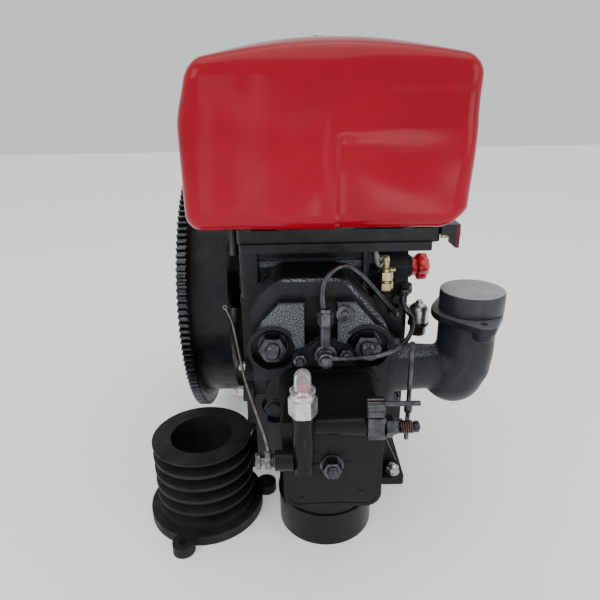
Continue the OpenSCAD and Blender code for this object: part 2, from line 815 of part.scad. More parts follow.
module ring_gear() {
    color("#232427") translate([-193, crank_y, crank_z]) rotate([90, 0, 90]) difference() {
        linear_extrude(13) gear_outline(gear_m, ring_teeth);
        translate([0, 0, -1]) cylinder(h = 15, r = wheel_r + 7, $fn = 96);
    }
}

module flywheel_nut() {
    color("#55575a") difference() {
        hex_x([-210, crank_y, crank_z], 20, 60);
        rod_x([-211, crank_y, crank_z], 30, 24);
    }
}

module cam_lobe(x, turn) {
    translate([x - 6, cam_y, cam_z]) rotate([90, 0, 90]) rotate(turn) linear_extrude(12) union() {
        circle(16);
        translate([18, 0]) circle(8);
        polygon([[0, -16], [18, -8], [18, 8], [0, 16]]);
    }
}

module camshaft() {
    color("#8d9296") {
        rod_x([-83, cam_y, cam_z], 183, 12);
        cam_lobe(cyl_x + valve_dx, 60);
        cam_lobe(cyl_x - valve_dx, 170);
        translate([84, cam_y, cam_z]) rotate([90, 0, 90]) linear_extrude(14)
            gear_outline(gear_m, cam_teeth, cam_angle);
    }
}

module piston() {
    color("#b4b7ba") difference() {
        rod_y([cyl_x, piston_top, crank_z], 78, bore_r - run);
        rod_y([cyl_x, piston_top + 12, crank_z], 80, bore_r - 9);
        rod_x([cyl_x - 50, pin_y, crank_z], 100, 13);
        // ring grooves
        for (i = [0 : 2]) translate([cyl_x, piston_top + 5 + i * 8, crank_z]) rotate([-90, 0, 0])
            difference() {
                cylinder(h = 2.5, r = bore_r + 1);
                cylinder(h = 2.5, r = bore_r - 3);
            }
    }
    // piston rings
    color("#55575a") for (i = [0 : 2])
        translate([cyl_x, piston_top + 5.05 + i * 8, crank_z]) rotate([-90, 0, 0]) difference() {
            cylinder(h = 2.4, r = bore_r - 0.02);
            translate([0, 0, -1]) cylinder(h = 5, r = bore_r - 2.9);
        }
}

module piston_pin() {
    color("#c4c7ca") difference() {
        rod_x([cyl_x - 40, pin_y, crank_z], 80, 13);
        rod_x([cyl_x - 41, pin_y, crank_z], 82, 7);
    }
}

module connecting_rod() {
    // rod with its big-end cap; the crankpin rides in the big end
    color("#8d9296") {
        difference() {
            union() {
                rod_x([cyl_x - 12, pin_y, crank_z], 24, 19);
                rod_x([cyl_x - 14, crank_y, crank_z], 28, 34);
                block([cyl_x - 8, pin_y + 10, crank_z - 13], [cyl_x + 8, crank_y - 20, crank_z + 13]);
            }
            rod_x([cyl_x - 20, pin_y, crank_z], 40, 13);
            rod_x([cyl_x - 20, crank_y, crank_z], 40, 22);
        }
        rod_x([cyl_x - 16, crank_y, crank_z], 32, 22 - run);
    }
}

// ---------- loose pieces delivered with the engine ----------

module groove_ring(i) {
    // one V groove, cut from outside
    z0 = 20 + (i + 0.5) * groove_pitch;
    translate([0, 0, z0]) rotate_extrude() polygon([[pulley_r - 13, -3.5], [pulley_r + 1, -7.5],
                                                     [pulley_r + 1, 7.5], [pulley_r - 13, 3.5]]);
}

module belt_pulley() {
    color("#26282b") translate([pulley_x, pulley_y, 0]) difference() {
        union() {
            cylinder(h = pulley_h, r = pulley_r);
            cylinder(h = 14, r = 76);
            for (a = pulley_turns) rotate(a) translate([pulley_hole_r, 0, 0]) cylinder(h = 14, r = 14);
        }
        translate([0, 0, -1]) cylinder(h = pulley_h + 2, r = pulley_bore);
        for (i = [0 : grooves - 1]) groove_ring(i);
        for (a = pulley_turns) rotate(a) translate([pulley_hole_r, 0, -1]) cylinder(h = 16, r = 6);
    }
}

module air_cleaner() {
    color("#2b2624") translate([drum_x, drum_y, 0]) difference() {
        union() {
            cylinder(h = 42, r = drum_r - 1);
            translate([0, 0, 42]) cylinder(h = 5, r = drum_r);
            translate([0, 0, 47]) cylinder(h = 58, r = drum_r - 2);
            translate([0, 0, 105]) cylinder(h = 8, r = drum_r - 8);
        }
        translate([0, 0, -1]) cylinder(h = 91, r = 27);
    }
}

crankcase();
cylinder_liner();
bearing_cover();
gear_case_cover();
case_bolts();
mounting_feet();
foot_bolts();
cylinder_head();
head_gasket();
head_studs();
injector();
injector_clamp();
clamp_nuts();
pressure_pipe();
return_pipe();
rocker_cover();
cover_nut();
rocker_shaft();
inlet_rocker();
exhaust_rocker();
inlet_valve();
exhaust_valve();
inlet_pushrod();
exhaust_pushrod();
fuel_tank();
tank_cap();
tank_seat();
tank_bracket();
tank_bolts();
injection_pump();
pump_fittings();
fuel_hoses();
filter_head();
filter_bowl();
intake_elbow();
elbow_bolts();
intake_cap();
exhaust_flange();
port_nuts();
oil_knob();
indicator_tube();
indicator_body();
indicator_dome();
indicator_float();
relief_housing();
relief_lever();
relief_spring();
lever_bracket();
lever_spring();
control_rod();
crankshaft();
flywheel();
ring_gear();
flywheel_nut();
camshaft();
piston();
piston_pin();
connecting_rod();
belt_pulley();
air_cleaner();
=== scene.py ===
"""Looks of the horizontal engine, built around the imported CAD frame."""
import json
import math

import bmesh
import bpy
from mathutils import Matrix, Vector, noise


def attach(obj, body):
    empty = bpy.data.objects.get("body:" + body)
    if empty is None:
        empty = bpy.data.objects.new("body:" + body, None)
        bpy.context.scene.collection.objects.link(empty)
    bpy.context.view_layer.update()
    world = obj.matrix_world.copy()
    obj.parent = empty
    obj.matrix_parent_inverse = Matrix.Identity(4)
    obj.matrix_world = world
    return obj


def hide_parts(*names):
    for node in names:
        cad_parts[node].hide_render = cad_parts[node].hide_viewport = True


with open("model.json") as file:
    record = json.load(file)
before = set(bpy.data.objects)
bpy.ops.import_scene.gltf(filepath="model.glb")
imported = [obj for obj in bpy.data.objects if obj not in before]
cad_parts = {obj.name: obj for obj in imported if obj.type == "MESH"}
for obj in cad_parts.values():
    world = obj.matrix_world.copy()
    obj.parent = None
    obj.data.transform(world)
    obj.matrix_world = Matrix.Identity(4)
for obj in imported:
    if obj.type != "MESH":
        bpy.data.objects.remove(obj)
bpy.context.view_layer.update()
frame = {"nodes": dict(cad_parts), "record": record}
NODES = frame["nodes"]
MM = 0.001

# ---------------------------------------------------------------- materials


def new_material(name, slot_color, metallic=0.0, roughness=0.5, coat=0.0, specular=0.5):
    mat = bpy.data.materials.new(name)
    mat.use_nodes = True
    bsdf = mat.node_tree.nodes["Principled BSDF"]
    bsdf.inputs["Base Color"].default_value = (*slot_color, 1.0)
    bsdf.inputs["Metallic"].default_value = metallic
    bsdf.inputs["Roughness"].default_value = roughness
    bsdf.inputs["Coat Weight"].default_value = coat
    bsdf.inputs["Coat Roughness"].default_value = 0.12
    bsdf.inputs["Specular IOR Level"].default_value = specular
    return mat


def node(mat, kind, **settings):
    made = mat.node_tree.nodes.new(kind)
    for key, value in settings.items():
        if key in made.inputs:
            made.inputs[key].default_value = value
        else:
            setattr(made, key, value)
    return made


def link(mat, a, b):
    mat.node_tree.links.new(a, b)


def position(mat):
    """Object coordinates in metres: every CAD node and piece has its origin at the row's origin."""
    return node(mat, "ShaderNodeTexCoord").outputs["Object"]


def noise_at(mat, scale, detail=3.0, rough=0.55):
    tex = node(mat, "ShaderNodeTexNoise")
    tex.inputs["Scale"].default_value = scale
    tex.inputs["Detail"].default_value = detail
    tex.inputs["Roughness"].default_value = rough
    link(mat, position(mat), tex.inputs["Vector"])
    return tex.outputs["Fac"]


def ramp(mat, value, low, high, at=(0.35, 0.65)):
    made = node(mat, "ShaderNodeValToRGB")
    elements = made.color_ramp.elements
    elements[0].position, elements[1].position = at
    elements[0].color = (*low, 1.0)
    elements[1].color = (*high, 1.0)
    link(mat, value, made.inputs["Fac"])
    return made.outputs["Color"]


def spread(mat, value, low, high, at=(0.3, 0.7)):
    made = node(mat, "ShaderNodeMapRange")
    made.inputs["From Min"].default_value = at[0]
    made.inputs["From Max"].default_value = at[1]
    made.inputs["To Min"].default_value = low
    made.inputs["To Max"].default_value = high
    link(mat, value, made.inputs["Value"])
    return made.outputs["Result"]


def bump(mat, layers):
    """Stack bump layers of (height, distance in metres, strength) onto the shader."""
    normal = None
    for height, distance, strength in layers:
        made = node(mat, "ShaderNodeBump")
        made.inputs["Distance"].default_value = distance
        made.inputs["Strength"].default_value = strength
        link(mat, height, made.inputs["Height"])
        if normal is not None:
            link(mat, normal, made.inputs["Normal"])
        normal = made.outputs["Normal"]
    link(mat, normal, mat.node_tree.nodes["Principled BSDF"].inputs["Normal"])


def calc(mat, operation, a, b):
    """Math node on two values; either may be a socket or a number."""
    made = node(mat, "ShaderNodeMath", operation=operation)
    for slot, value in zip(made.inputs, (a, b)):
        if isinstance(value, (int, float)):
            slot.default_value = value
        else:
            link(mat, value, slot)
    return made.outputs[0]


def along(mat, direction):
    """Distance in metres along a direction, measured from the row's origin."""
    made = node(mat, "ShaderNodeVectorMath", operation="DOT_PRODUCT")
    link(mat, position(mat), made.inputs[0])
    made.inputs[1].default_value = direction
    return made.outputs["Value"]


def between(mat, value, low, high, soft):
    """1 inside low..high and 0 outside, with soft ends."""
    rise = spread(mat, value, 0.0, 1.0, (low - soft, low + soft))
    fall = spread(mat, value, 1.0, 0.0, (high - soft, high + soft))
    return calc(mat, "MULTIPLY", rise, fall)


def zone(mat, limits):
    """Mask of a region given as (direction, low, high, soft) in metres."""
    mask = 1.0
    for direction, low, high, soft in limits:
        mask = calc(mat, "MULTIPLY", between(mat, along(mat, direction), low, high, soft), mask)
    return mask


def blend(mat, factor, a, b):
    """Colour a where factor is 0 and b where it is 1; either may be a socket or a colour."""
    made = node(mat, "ShaderNodeMix", data_type="RGBA")
    link(mat, factor, made.inputs[0])
    for slot, value in ((made.inputs[6], a), (made.inputs[7], b)):
        if isinstance(value, tuple):
            slot.default_value = (*value, 1.0)
        else:
            link(mat, value, slot)
    return made.outputs[2]


# Directions of the frame: the cylinder head faces front, and the flywheel is on the left
RIGHT, LEFT = (1, 0, 0), (-1, 0, 0)
BACK, FRONT = (0, 1, 0), (0, -1, 0)
UP = (0, 0, 1)
SHOULDER = (0.758, 0, 0.652)

# Regions of the castings, each a list of (direction, low, high, soft) in metres.
# Painted sparkle highlight over the grainy iron: the head's raised pad, and the ledge in the pocket
PAD_SPARKLE_ZONES = [
    [(RIGHT, -0.068, 0.066, 0.003), (BACK, -0.2513, -0.2487, 0.0003), (UP, 0.262, 0.3255, 0.002)],
    [(RIGHT, -0.073, 0.047, 0.002), (BACK, -0.1675, -0.159, 0.0004), (UP, 0.3395, 0.3495, 0.0012)]]
# Painted highlight in broken strokes along edges: the head's right shoulder, and its top edge
EDGE_HIGHLIGHT_ZONES = [
    [(SHOULDER, 0.2408, 0.2455, 0.0008), (BACK, -0.2392, -0.226, 0.0005), (UP, 0.288, 0.343, 0.004)],
    [(RIGHT, -0.044, 0.016, 0.004), (BACK, -0.2392, -0.2345, 0.0005), (UP, 0.3462, 0.3498, 0.0006)]]
# Painted highlight in grains on the top of the elbow's level pipe, and a painted reflection on the flat top
# of its flange
ELBOW_TOP_HIGHLIGHT = [[(RIGHT, 0.088, 0.137, 0.003), (UP, 0.241, 0.255, 0.0012)]]
ELBOW_FLANGE_REFLECTION = [[(UP, 0.2922, 0.2945, 0.0003)]]
# Tones of painted light in those regions: sparkle highlight, edge highlight and the flange top's reflection
SPARKLE_TONE, EDGE_HIGHLIGHT_TONE, TOP_REFLECTION_TONE = (0.19, 0.213, 0.235), (0.20, 0.22, 0.24), (0.085, 0.095, 0.105)


def painted_casting(name, low, high, grain, depth, rough=(0.28, 0.5), coat=0.35,
                    sparkle_zones=(), edge_highlights=(), flat=()):
    """Black enamel over sand-cast iron: two grains and an uneven gloss.

    The three region lists give a painted sparkle highlight in grains, a painted edge highlight in broken
    strokes and a plain painted reflection, each a lighter iron tone.
    """
    mat = new_material(name, high, roughness=0.4, coat=coat, specular=0.22)
    bsdf = mat.node_tree.nodes["Principled BSDF"]
    color = ramp(mat, noise_at(mat, 38, 5), low, high)
    # Painted sparkle highlight: lighter grains in the given regions
    if sparkle_zones:
        grains = spread(mat, noise_at(mat, 820, 2, 0.6), 0.0, 1.0, (0.48, 0.56))
    for limits in sparkle_zones:
        color = blend(mat, calc(mat, "MULTIPLY", zone(mat, limits), grains), color, SPARKLE_TONE)
    # Painted edge highlight: broken lighter strokes in the given regions
    if edge_highlights:
        highlight_strokes = spread(mat, noise_at(mat, 520, 3, 0.7), 0.0, 1.0, (0.49, 0.56))
    for limits in edge_highlights:
        color = blend(mat, calc(mat, "MULTIPLY", zone(mat, limits), highlight_strokes), color, EDGE_HIGHLIGHT_TONE)
    # Painted reflection: a plain lighter tone in the given regions
    for limits in flat:
        color = blend(mat, zone(mat, limits), color, TOP_REFLECTION_TONE)
    link(mat, color, bsdf.inputs["Base Color"])
    link(mat, spread(mat, noise_at(mat, 65, 4), *rough), bsdf.inputs["Roughness"])
    coarse = grain * 0.22
    bump(mat, [(noise_at(mat, grain, 4, 0.65), depth, 0.9), (noise_at(mat, coarse, 3), depth * 1.6, 0.6)])
    return mat


def enamel(name, low, high, rough=(0.12, 0.22), peel=0.00015, coat=0.6, specular=0.5):
    """Smooth sprayed enamel with orange peel and faint cloudiness."""
    mat = new_material(name, high, roughness=0.2, coat=coat, specular=specular)
    bsdf = mat.node_tree.nodes["Principled BSDF"]
    link(mat, ramp(mat, noise_at(mat, 9, 4), low, high), bsdf.inputs["Base Color"])
    link(mat, spread(mat, noise_at(mat, 30, 4), *rough), bsdf.inputs["Roughness"])
    bump(mat, [(noise_at(mat, 420, 2), peel, 0.35), (noise_at(mat, 30, 2), peel * 6, 0.3)])
    return mat


def metal(name, low, high, rough=(0.25, 0.42), grain=900, depth=0.00005):
    """Plated or machined metal with fine grain and blotchy tone."""
    mat = new_material(name, high, metallic=1.0, roughness=0.35)
    bsdf = mat.node_tree.nodes["Principled BSDF"]
    link(mat, ramp(mat, noise_at(mat, 120, 5), low, high), bsdf.inputs["Base Color"])
    link(mat, spread(mat, noise_at(mat, 180, 4), *rough), bsdf.inputs["Roughness"])
    bump(mat, [(noise_at(mat, grain, 3), depth, 0.7)])
    return mat


def plastic(name, low, high, rough=(0.3, 0.45), grain=700, depth=0.00006, coat=0.0):
    """Moulded plastic or rubber with faint mottling and a fine skin."""
    mat = new_material(name, high, roughness=0.4, coat=coat)
    bsdf = mat.node_tree.nodes["Principled BSDF"]
    link(mat, ramp(mat, noise_at(mat, 45, 4), low, high), bsdf.inputs["Base Color"])
    link(mat, spread(mat, noise_at(mat, 80, 3), *rough), bsdf.inputs["Roughness"])
    bump(mat, [(noise_at(mat, grain, 3), depth, 0.5)])
    return mat


def two_tone(name, near, far, change_x):
    """Satin paint that changes colour at a sideways place."""
    mat = enamel(name, near, near, (0.3, 0.45), coat=0.05, specular=0.25)
    bsdf = mat.node_tree.nodes["Principled BSDF"]
    soft = 0.0004
    mask = spread(mat, along(mat, RIGHT), 0.0, 1.0, (change_x - soft, change_x + soft))
    link(mat, blend(mat, mask, near, far), bsdf.inputs["Base Color"])
    return mat


def clear_plastic(name):
    """Clear moulded dome that lets the float show through."""
    mat = new_material(name, (0.93, 0.95, 0.97), roughness=0.06)
    bsdf = mat.node_tree.nodes["Principled BSDF"]
    bsdf.inputs["Transmission Weight"].default_value = 0.9
    bsdf.inputs["IOR"].default_value = 1.45
    bump(mat, [(noise_at(mat, 260, 2), 0.0001, 0.3)])
    return mat


MATERIALS = {
    # cast_black carries the painted sparkle highlight and the painted edge highlights of the head
    "cast_black": painted_casting("cast_black", (0.005, 0.006, 0.008), (0.013, 0.0155, 0.019), 900, 0.00025,
                                  coat=0.06, sparkle_zones=PAD_SPARKLE_ZONES, edge_highlights=EDGE_HIGHLIGHT_ZONES),
    "raw_casting": painted_casting("raw_casting", (0.009, 0.010, 0.011), (0.019, 0.020, 0.022), 1100, 0.0002,
                                   (0.5, 0.75), 0.0),
    # elbow_black carries the painted top highlight and the painted flange reflection
    "elbow_black": painted_casting("elbow_black", (0.011, 0.0125, 0.015), (0.021, 0.024, 0.028), 420, 0.0003,
                                   (0.34, 0.5), 0.08, sparkle_zones=ELBOW_TOP_HIGHLIGHT, flat=ELBOW_FLANGE_REFLECTION),
    "cover_black": enamel("cover_black", (0.006, 0.007, 0.0075), (0.010, 0.012, 0.0125), (0.2, 0.34),
                          coat=0.02, specular=0.14),
    "drum_black": enamel("drum_black", (0.005, 0.005, 0.006), (0.010, 0.009, 0.009), (0.26, 0.42),
                         coat=0.03, specular=0.18),
    "tank_red": enamel("tank_red", (0.27, 0.001, 0.010), (0.33, 0.002, 0.014), (0.11, 0.2),
                       coat=0.10, specular=0.16),
    "bracket_red": two_tone("bracket_red", (0.010, 0.012, 0.015), (0.11, 0.006, 0.016), 0.1508),
    "bright_zinc": metal("bright_zinc", (0.52, 0.50, 0.46), (0.80, 0.79, 0.76), (0.2, 0.4)),
    "pale_zinc": metal("pale_zinc", (0.46, 0.48, 0.46), (0.66, 0.68, 0.66), (0.3, 0.45)),
    "dull_zinc": metal("dull_zinc", (0.10, 0.10, 0.10), (0.22, 0.22, 0.215), (0.3, 0.48)),
    "yellow_zinc": metal("yellow_zinc", (0.42, 0.34, 0.14), (0.72, 0.63, 0.36), (0.28, 0.45)),
    "dark_steel": metal("dark_steel", (0.045, 0.047, 0.052), (0.10, 0.104, 0.112), (0.26, 0.42)),
    "grey_steel": metal("grey_steel", (0.07, 0.075, 0.08), (0.16, 0.168, 0.176), (0.3, 0.46)),
    "machined_steel": metal("machined_steel", (0.34, 0.35, 0.36), (0.52, 0.53, 0.54), (0.22, 0.38)),
    "aluminium": metal("aluminium", (0.50, 0.51, 0.52), (0.74, 0.75, 0.76), (0.25, 0.42)),
    "copper_spring": metal("copper_spring", (0.05, 0.032, 0.03), (0.14, 0.085, 0.075)),
    "grey_plastic": plastic("grey_plastic", (0.014, 0.016, 0.019), (0.022, 0.025, 0.029)),
    # Pale tone of the intake cap's top: painted sheen
    "pale_plastic": plastic("pale_plastic", (0.27, 0.29, 0.31), (0.33, 0.35, 0.37), (0.35, 0.5)),
    "red_plastic": plastic("red_plastic", (0.55, 0.006, 0.015), (0.68, 0.012, 0.03), (0.16, 0.3), coat=0.3),
    "clear_plastic": clear_plastic("clear_plastic"),
    "hose_grey": plastic("hose_grey", (0.20, 0.21, 0.22), (0.34, 0.35, 0.36), (0.35, 0.55)),
    "gasket": plastic("gasket", (0.18, 0.19, 0.20), (0.30, 0.31, 0.32), (0.6, 0.8)),
    # Near-black, used for the painted shade of the elbow's flange hole
    "soot": plastic("soot", (0.004, 0.004, 0.004), (0.01, 0.01, 0.01), (0.7, 0.9)),
    "bowl_dark": plastic("bowl_dark", (0.035, 0.028, 0.022), (0.06, 0.05, 0.04), (0.1, 0.2), coat=0.4),
}
SLOT_OF = {part["node"]: part["material_slot"] for part in frame["record"]["subparts"]}


def paint(obj, slot):
    obj.data.materials.clear()
    obj.data.materials.append(MATERIALS[slot])


for name, obj in NODES.items():
    paint(obj, SLOT_OF[name])

# ---------------------------------------------------------------- mesh tools


def add_mesh(name, verts, faces, slot, body="root", stands_for=(), smooth=35.0):
    """A finished piece in metres from points in millimetres; edges sharper than smooth degrees stay crisp."""
    mesh = bpy.data.meshes.new(name)
    mesh.from_pydata([tuple(c * MM for c in v) for v in verts], [], faces)
    mesh.validate()
    clean = bmesh.new()
    clean.from_mesh(mesh)
    bmesh.ops.remove_doubles(clean, verts=clean.verts, dist=1e-6)
    bmesh.ops.recalc_face_normals(clean, faces=clean.faces)
    clean.to_mesh(mesh)
    clean.free()
    obj = bpy.data.objects.new(name, mesh)
    bpy.context.scene.collection.objects.link(obj)
    finish_piece(obj, slot, body, stands_for, smooth)
    return obj


def finish_piece(obj, slot, body, stands_for, smooth):
    """Paint, slot, body and replaced CAD nodes of a piece; smooth is None where modifiers do the shading."""
    paint(obj, slot)
    if smooth is not None:
        shade(obj, smooth)
    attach(obj, body)
    if stands_for:
        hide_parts(*stands_for)


def shade(obj, degrees):
    """Smooth shading with crisp edges where faces meet at more than the given angle."""
    obj.data.polygons.foreach_set("use_smooth", [True] * len(obj.data.polygons))
    obj.data.set_sharp_from_angle(angle=math.radians(degrees))


def round_edges(obj, width, segments=2, angle=32.0):
    """Bevel modifier in millimetres, for machined and cast edges."""
    mod = obj.modifiers.new("edge_round", "BEVEL")
    mod.width = width * MM
    mod.segments = segments
    mod.limit_method = "ANGLE"
    mod.angle_limit = math.radians(angle)
    mod.harden_normals = False
    mod.miter_outer = "MITER_ARC"
    shade(obj, 40.0)


def basis(axis):
    """Two unit vectors across an axis, so that a ring can be drawn around it."""
    axis = Vector(axis).normalized()
    helper = Vector((0, 0, 1)) if abs(axis.z) < 0.9 else Vector((0, 1, 0))
    u = axis.cross(helper).normalized()
    return axis, u, axis.cross(u).normalized()


def stitched(rings, count):
    """Four-sided faces between neighbouring rings of count points each."""
    faces = []
    for i in range(rings - 1):
        for k in range(count):
            a, b = i * count + k, i * count + (k + 1) % count
            faces.append((a, b, b + count, a + count))
    return faces


def end_caps(rings, count):
    """One face over the first ring and one over the last."""
    last = (rings - 1) * count
    return [tuple(range(count - 1, -1, -1)), tuple(last + k for k in range(count))]


def lathe(place, axis, profile, steps=64, wave=None):
    """Verts and faces of a turned form: profile is (distance along axis, radius).

    wave(angle, along) scales the radius. A profile that ends where it starts makes a ring.
    """
    axis, u, v = basis(axis)
    verts = []
    origin = Vector(place)
    for along_axis, radius in profile:
        for k in range(steps):
            angle = 2 * math.pi * k / steps
            r = radius * (wave(angle, along_axis) if wave else 1.0)
            verts.append(origin + axis * along_axis + (u * math.cos(angle) + v * math.sin(angle)) * r)
    faces = stitched(len(profile), steps)
    if profile[0] != profile[-1]:
        faces += end_caps(len(profile), steps)
    return verts, faces


def join(*parts):
    """Several (verts, faces) pairs as one."""
    verts, faces = [], []
    for part_verts, part_faces in parts:
        base = len(verts)
        verts.extend(part_verts)
        faces.extend(tuple(i + base for i in face) for face in part_faces)
    return verts, faces


def smooth_path(points, per_span=6):
    """Catmull-Rom curve through the given points."""
    pts = [Vector(p) for p in points]
    pts = [pts[0] * 2 - pts[1]] + pts + [pts[-1] * 2 - pts[-2]]
    path = []
    for i in range(1, len(pts) - 2):
        a, b, c, d = pts[i - 1:i + 3]
        for k in range(per_span):
            t = k / per_span
            path.append(0.5 * ((2 * b) + (c - a) * t + (2 * a - 5 * b + 4 * c - d) * t * t
                               + (3 * b - a - 3 * c + d) * t ** 3))
    path.append(pts[-2])
    return path


def tube(path, radius, sides=14):
    """Round tube along a path, with its cross-sections carried along so that it never twists.

    radius is a number, or a function of the place from 0 to 1 along the path.
    """
    path = [Vector(p) for p in path]
    count = len(path)
    verts = []
    tangents = []
    for i in range(count):
        before, after = path[max(i - 1, 0)], path[min(i + 1, count - 1)]
        tangents.append((after - before).normalized())
    _, side, _ = basis(tangents[0])
    for i, t in enumerate(tangents):
        side = (side - t * side.dot(t)).normalized()
        across = t.cross(side)
        r = radius(i / (count - 1)) if callable(radius) else radius
        for k in range(sides):
            angle = 2 * math.pi * k / sides
            verts.append(path[i] + (side * math.cos(angle) + across * math.sin(angle)) * r)
    return verts, stitched(count, sides) + end_caps(count, sides)


def helix(place, axis, radius, pitch, turns, per_turn=24):
    """Points of a coil that climbs along an axis by one pitch a turn."""
    axis, u, v = basis(axis)
    steps = int(turns * per_turn)
    return [Vector(place) + axis * (pitch * i / per_turn)
            + (u * math.cos(2 * math.pi * i / per_turn) + v * math.sin(2 * math.pi * i / per_turn)) * radius
            for i in range(steps + 1)]


def hexagon(place, axis, across, height, hole=0.0, steps=48):
    """Chamfered hexagon nut or bolt head; place is the seat, axis points outward."""
    flat = across / 2
    inner = max(hole, 0.01)
    lip = 0.6 if hole else 0.0
    axis, u, v = basis(axis)
    origin = Vector(place)
    rays, columns = [], []
    for k in range(steps):
        angle = 2 * math.pi * k / steps
        corner = flat / math.cos(angle % (math.pi / 3) - math.pi / 6)
        cut = max(0.0, corner - flat * 0.985) * 0.62
        rays.append(u * math.cos(angle) + v * math.sin(angle))
        columns.append([(inner, 0.0), (flat * 0.97, 0.0), (corner, cut * 0.4), (corner, height - cut),
                        (flat * 0.95, height), (inner + lip, height), (inner, height - lip)])
    rings = len(columns[0])
    verts = [origin + axis * columns[k][i][1] + rays[k] * columns[k][i][0]
             for i in range(rings) for k in range(steps)]
    faces = stitched(rings, steps)
    if hole:
        last = (rings - 1) * steps
        faces += [(last + k, last + (k + 1) % steps, (k + 1) % steps, k) for k in range(steps)]
    else:
        faces += end_caps(rings, steps)
    return verts, faces


def threaded_end(place, axis, radius, length, pitch=1.75, steps=28):
    """Stud end with a chamfered tip and raised thread rings."""
    root = radius * 0.9
    profile = [(0.0, root)]
    start = 0.0
    while start < length - 1.2 * pitch:
        profile += [(start + pitch * 0.25, root), (start + pitch * 0.5, radius),
                    (start + pitch * 0.75, radius)]
        start += pitch
    profile += [(length - 1.0, radius * 0.92), (length, radius * 0.74)]
    return lathe(place, axis, profile, steps)


def washer(place, axis, outer, inner, thick):
    """Flat ring with eased outer edges."""
    ease = 0.25
    profile = [(0, inner), (0, outer - ease), (ease, outer), (thick - ease, outer), (thick, outer - ease),
               (thick, inner), (0, inner)]
    return lathe(place, axis, profile, 40)


# ---------------------------------------------------------------- shapes from the frame

# Driving places repeated from the frame, in millimetres
TANK_LOW = Vector((-134.0, -280.0, 409.0))
TANK_SIZE = Vector((272.0, 222.0, 172.0))
CAP_X, CAP_Y, DISH_Z = -3.0, -165.0, 571.0
CYL_X, PAD_Y, COVER_Y = -5.0, -250.0, -330.0
STUD_DX, STUD_LOW_Z, STUD_HIGH_Z = 51.5, 195.0, 273.0
CRANK_Y, CRANK_Z = 99.0, 234.0
PORT_Y, PORT_Z, PORT_BOLT = -195.0, 215.0, 38.0
ELBOW_X, ELBOW_Y, ELBOW_TOP = 174.0, -191.0, 293.0
ELBOW_FLANGE_TURN, ELBOW_HOLE_R = -84.0, 46.5
SHAFT_Y, SHAFT_Z = -340.0, 197.0
KNOB = Vector((121.0, -100.0, 319.0))
INJECTOR_Y, INJECTOR_Z = -262.0, 272.0
CASE_LEFT, CASE_RIGHT = -98.0, 116.0
CASE_BOLT_Y, CASE_BOLT_Z = (-112, 48, 207), (80, 190, 292)
END_COVER_BOLTS, END_COVER_R = 8, 95.0
FOOT_BOLTS = ((106, -136), (106, 150), (-106, -50), (-106, 150))
COVER_NUT_X, COVER_NUT_Z = 3.0, 183.0
INDICATOR_X = -25.0
SPRING_Y, SPRING_Z = -335.0, 230.0
UNION_X, UNION_Y = 80.0, -150.0
FILTER_X, FILTER_Y = 128.0, -137.0


def step(edge0, edge1, x):
    """0 below edge0, 1 above edge1, and a soft S between them."""
    t = min(1.0, max(0.0, (x - edge0) / (edge1 - edge0)))
    return t * t * (3 - 2 * t)


def rounded_box(low, size, radius, cuts):
    """Box of many faces with true round edges, as verts and faces in millimetres."""
    grid = bmesh.new()
    bmesh.ops.create_cube(grid, size=2.0)
    bmesh.ops.subdivide_edges(grid, edges=grid.edges[:], cuts=cuts, use_grid_fill=True)
    half = size / 2
    core = Vector([max(half[i] - radius, 0.0) for i in range(3)])
    verts = []
    for vert in grid.verts:
        # a cosine-like spread puts more rows into the round edges
        p = Vector([half[i] * math.copysign(abs(vert.co[i]) ** 0.82, vert.co[i]) for i in range(3)])
        inner = Vector([max(-core[i], min(core[i], p[i])) for i in range(3)])
        out = p - inner
        if out.length > 1e-6:
            p = inner + out.normalized() * radius
        verts.append(low + half + p)
    faces = [tuple(v.index for v in face.verts) for face in grid.faces]
    grid.free()
    return verts, faces


def tank_shell():
    """Pressed tank: crowned top with the filler's dish, bellied sides, and a dented front panel."""
    shoulder = TANK_SIZE.copy()
    shoulder.z = 150.0
    verts, faces = rounded_box(TANK_LOW, shoulder, 17.0, 83)
    middle = TANK_LOW + shoulder / 2
    half = shoulder / 2
    crown = TANK_SIZE.z - shoulder.z
    panel_x, panel_top = 11.0, 492.0
    for v in verts:
        fx = (v.x - middle.x) / half.x
        fy = (v.y - middle.y) / half.y
        rise = step(0.15, 1.0, (v.z - TANK_LOW.z) / shoulder.z)
        height = (v.z - TANK_LOW.z) / shoulder.z
        arch = max(0.0, 1 - abs(fx) ** 2.2) * max(0.0, 1 - abs(fy) ** 4.0) ** 0.75
        v.z += crown * rise * arch
        # the left side leans in at the top, and the right one is rounder at the bottom
        v.x += max(0.0, -fx) * 11.0 * step(0.62, 1.0, height)
        v.x -= max(0.0, fx) * 3.0 * (1 - step(0.0, 0.6, height))
        v.z += 8.0 * step(0.80, 1.0, fx) * (1 - step(0.0, 0.22, height))
        # front panel: a shallow flat to the right of the crease, and soft hand dents
        if fy < -0.7:
            away = v.x - panel_x
            below = 1 - step(panel_top - 5, panel_top + 7, v.z)
            fold = step(-1.5, 2.0, away) * math.exp(-max(0.0, away) / 34)
            v.y += 4.2 * fold * below * (1 - 0.35 * step(409, 470, v.z))
            v.y -= 1.6 * math.exp(-((away + 3.5) / 5) ** 2) * (1 - step(panel_top + 10, panel_top + 62, v.z))
            v.y += 1.3 * step(20, 60, away) * step(500, 512, v.z) * (1 - step(525, 540, v.z))
            v.y += 1.6 * math.exp(-((v.x + 82) / 22) ** 2)
            v.y += 1.8 * noise.noise(Vector((v.x * 0.019, 2.3, v.z * 0.023)))
        # dish around the filler
        reach = math.hypot(v.x - CAP_X, v.y - CAP_Y)
        if v.z > 540 and reach < 44:
            v.z = DISH_Z + (v.z - DISH_Z) * step(33, 43, reach)
    return verts, faces


